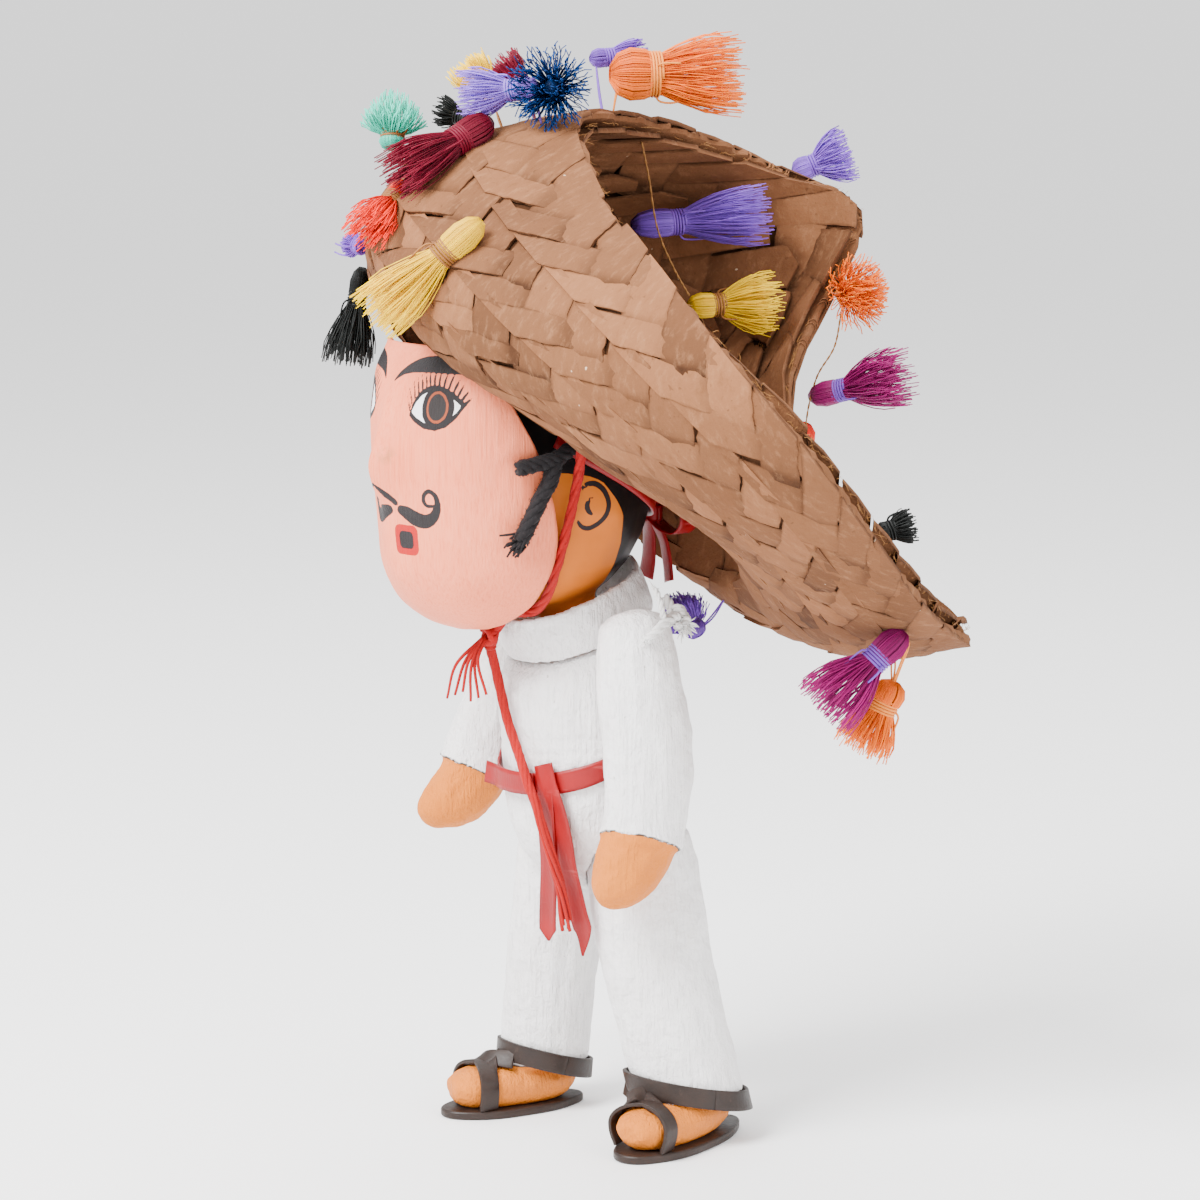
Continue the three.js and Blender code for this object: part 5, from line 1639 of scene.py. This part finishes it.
class DyeSettings(bpy.types.PropertyGroup):
    """Colours a user would change."""

    paint: tint("White paint", "Paint of the clothes", 0.93, 0.915, 0.91)
    paint_dull: tint("White paint, dull", "The paint where it is thin", 0.86, 0.835, 0.83)
    skin: tint("Skin", "Paint of hands and feet", 0.74, 0.215, 0.018)
    skin_deep: tint("Skin, deep", "Darker parts of that paint", 0.58, 0.155, 0.010)
    mask: tint("Mask", "Paint of the mask", 0.92, 0.228, 0.108)
    mask_deep: tint("Mask, deep", "Darker parts of that paint", 0.82, 0.185, 0.080)
    bark: tint("Bark", "The lightest strips of the hat", 0.245, 0.103, 0.046)
    # The strips' darker tone, and also the painted shade of the plait's gaps, folded edges and covered
    # strip starts
    bark_dark_and_shade: tint("Bark, deep", "The strips' darkest places", 0.028, 0.011, 0.005)
    ribbon: tint("Ribbon", "Sash, headband and bow", 0.30, 0.002, 0.005)
    ribbon_deep: tint("Ribbon, deep", "Darker parts of the ribbon", 0.21, 0.001, 0.003)
    leather: tint("Leather", "Soles and straps", 0.026, 0.015, 0.011)
    leather_deep: tint("Leather, deep", "Darker parts of the leather", 0.012, 0.007, 0.0055)
    red_yarn: tint("Red yarn", "Yarn under the chin", 0.40, 0.0015, 0.001)
    black_yarn: tint("Black yarn", "Yarn that ties the mask", 0.007, 0.005, 0.006)
    cotton: tint("Cotton", "String at the shoulders", 0.92, 0.91, 0.89)
    tan_thread: tint("Sewing thread", "Threads and stitches on the hat", 0.34, 0.15, 0.04)
    mint: tint("Mint thread", "Thread of tassels", 0.035, 0.50, 0.36)
    yellow: tint("Yellow thread", "Thread of tassels", 0.98, 0.50, 0.0)
    maroon: tint("Maroon thread", "Thread of tassels", 0.14, 0.002, 0.016)
    lavender: tint("Lavender thread", "Thread of tassels", 0.24, 0.13, 0.58)
    navy: tint("Navy thread", "Thread of tassels", 0.001, 0.022, 0.10)
    black: tint("Black thread", "Thread of tassels", 0.004, 0.005, 0.0045)
    scarlet: tint("Scarlet thread", "Thread of tassels", 0.95, 0.020, 0.004)
    orange: tint("Orange thread", "Thread of tassels", 1.0, 0.15, 0.0)
    purple: tint("Purple thread", "Thread of tassels", 0.13, 0.05, 0.33)
    magenta: tint("Magenta thread", "Thread of tassels", 0.24, 0.002, 0.10)
    tan: tint("Tan thread", "Thread of bindings", 0.28, 0.11, 0.03)
    apricot: tint("Apricot thread", "Thread of bindings", 0.90, 0.24, 0.03)


class StudioSettings(bpy.types.PropertyGroup):
    """Strength of the studio's lights."""

    world_strength: FloatProperty(name="Surroundings", description="Light from all sides",
                                  default=1.5, min=0.0, max=5.0)
    key_power: FloatProperty(name="Key light", description="Power of the large front light",
                             default=74.0, min=0.0, unit="POWER")
    fill_power: FloatProperty(name="Fill light", description="Power of the light from the right",
                              default=14.0, min=0.0, unit="POWER")
    top_power: FloatProperty(name="Top light", description="Power of the light from above",
                             default=20.0, min=0.0, unit="POWER")


class DANCER_OT_stage(bpy.types.Operator):
    """Sets the floor, the lights and the camera."""

    bl_idname = "dancer.stage"
    bl_label = "Studio"

    def execute(self, context):
        build_stage(context.scene.studio)
        return {"FINISHED"}


class DANCER_OT_cords(bpy.types.Operator):
    """Builds the yarn and the threads that hang free, with the tassels on them."""

    bl_idname = "dancer.cords"
    bl_label = "Hanging yarn and threads"

    def execute(self, context):
        settings = context.scene.dancer
        build_chin_tail(settings.yarn_diameter)
        purple, yellow, magenta = (build_tassel(name, settings.strands, 200 + number)
                                   for number, name in enumerate(CORD_TASSELS))
        build_thread("bowl_thread", "thread_bowl", THREAD_BOWL)
        build_thread("side_thread", "thread_side", THREAD_SIDE)
        return {"FINISHED"}


class DANCER_OT_clothes(bpy.types.Operator):
    """Builds the trunk, the arms, the legs and the collar."""

    bl_idname = "dancer.clothes"
    bl_label = "Painted clothes"

    def execute(self, context):
        for number, node in enumerate(("torso", "left_leg", "right_leg", "left_arm", "right_arm")):
            paper_skin(node, context.scene.dancer.paper_voxel, 10 + 7 * number)
        build_collar()
        return {"FINISHED"}


class DANCER_OT_head(bpy.types.Operator):
    """Builds the painted head and its mask."""

    bl_idname = "dancer.head"
    bl_label = "Head and mask"

    def execute(self, context):
        rows = context.scene.dancer.mask_rows
        build_head()
        build_mask(rows, int(rows * 1.15))
        return {"FINISHED"}


class DANCER_OT_hat(bpy.types.Operator):
    """Builds the hat from its strips."""

    bl_idname = "dancer.hat"
    bl_label = "Plaited hat"

    def execute(self, context):
        build_hat()
        return {"FINISHED"}


class DANCER_OT_tassels(bpy.types.Operator):
    """Builds the tassels sewn to the hat."""

    bl_idname = "dancer.tassels"
    bl_label = "Tassels"

    def execute(self, context):
        for number, name in enumerate(TASSELS):
            if name not in CORD_TASSELS:
                build_tassel(name, context.scene.dancer.strands, 300 + number)
        return {"FINISHED"}


class DANCER_OT_yarns(bpy.types.Operator):
    """Builds the chin yarn, the mask tie and the cotton knots."""

    bl_idname = "dancer.yarns"
    bl_label = "Tied yarns"

    def execute(self, context):
        build_chin_yarn()
        build_mask_tie()
        for node in COTTONS:
            build_cotton(node)
        return {"FINISHED"}


class DANCER_OT_ribbons(bpy.types.Operator):
    """Builds the red strips."""

    bl_idname = "dancer.ribbons"
    bl_label = "Sash and headband"

    def execute(self, context):
        build_sash()
        build_headband()
        return {"FINISHED"}


class DANCER_OT_sandals(bpy.types.Operator):
    """Builds the soles and the straps."""

    bl_idname = "dancer.sandals"
    bl_label = "Sandals"

    def execute(self, context):
        for side in FEET:
            build_sole(side)
            build_instep(side, *build_ankle_band(side))
        return {"FINISHED"}


OPERATORS = (DANCER_OT_stage, DANCER_OT_cords, DANCER_OT_clothes, DANCER_OT_head, DANCER_OT_hat,
             DANCER_OT_tassels, DANCER_OT_yarns, DANCER_OT_ribbons, DANCER_OT_sandals)


class DANCER_PT_panel(bpy.types.Panel):
    """Lists the settings and the operators in the sidebar."""

    bl_label = "Dancer"
    bl_idname = "DANCER_PT_panel"
    bl_space_type = "VIEW_3D"
    bl_region_type = "UI"
    bl_category = "Dancer"

    def draw(self, context):
        scene = context.scene
        for settings in (scene.dancer, scene.dyes, scene.studio):
            for key in settings.bl_rna.properties.keys():
                if key not in {"rna_type", "name"}:
                    self.layout.prop(settings, key)
        for operator in OPERATORS:
            self.layout.operator(operator.bl_idname)


GROUPS = {"dancer": DancerSettings, "dyes": DyeSettings, "studio": StudioSettings}
CLASSES = (*GROUPS.values(), *OPERATORS, DANCER_PT_panel)


def register():
    for cls in CLASSES:
        bpy.utils.register_class(cls)
    for name, group in GROUPS.items():
        setattr(bpy.types.Scene, name, PointerProperty(type=group))


def unregister():
    for name in GROUPS:
        delattr(bpy.types.Scene, name)
    for cls in reversed(CLASSES):
        bpy.utils.unregister_class(cls)


def main():
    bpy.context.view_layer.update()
    register()
    for operator in OPERATORS:
        group, call = operator.bl_idname.split(".")
        getattr(getattr(bpy.ops, group), call)()


if __name__ == "__main__":
    main()
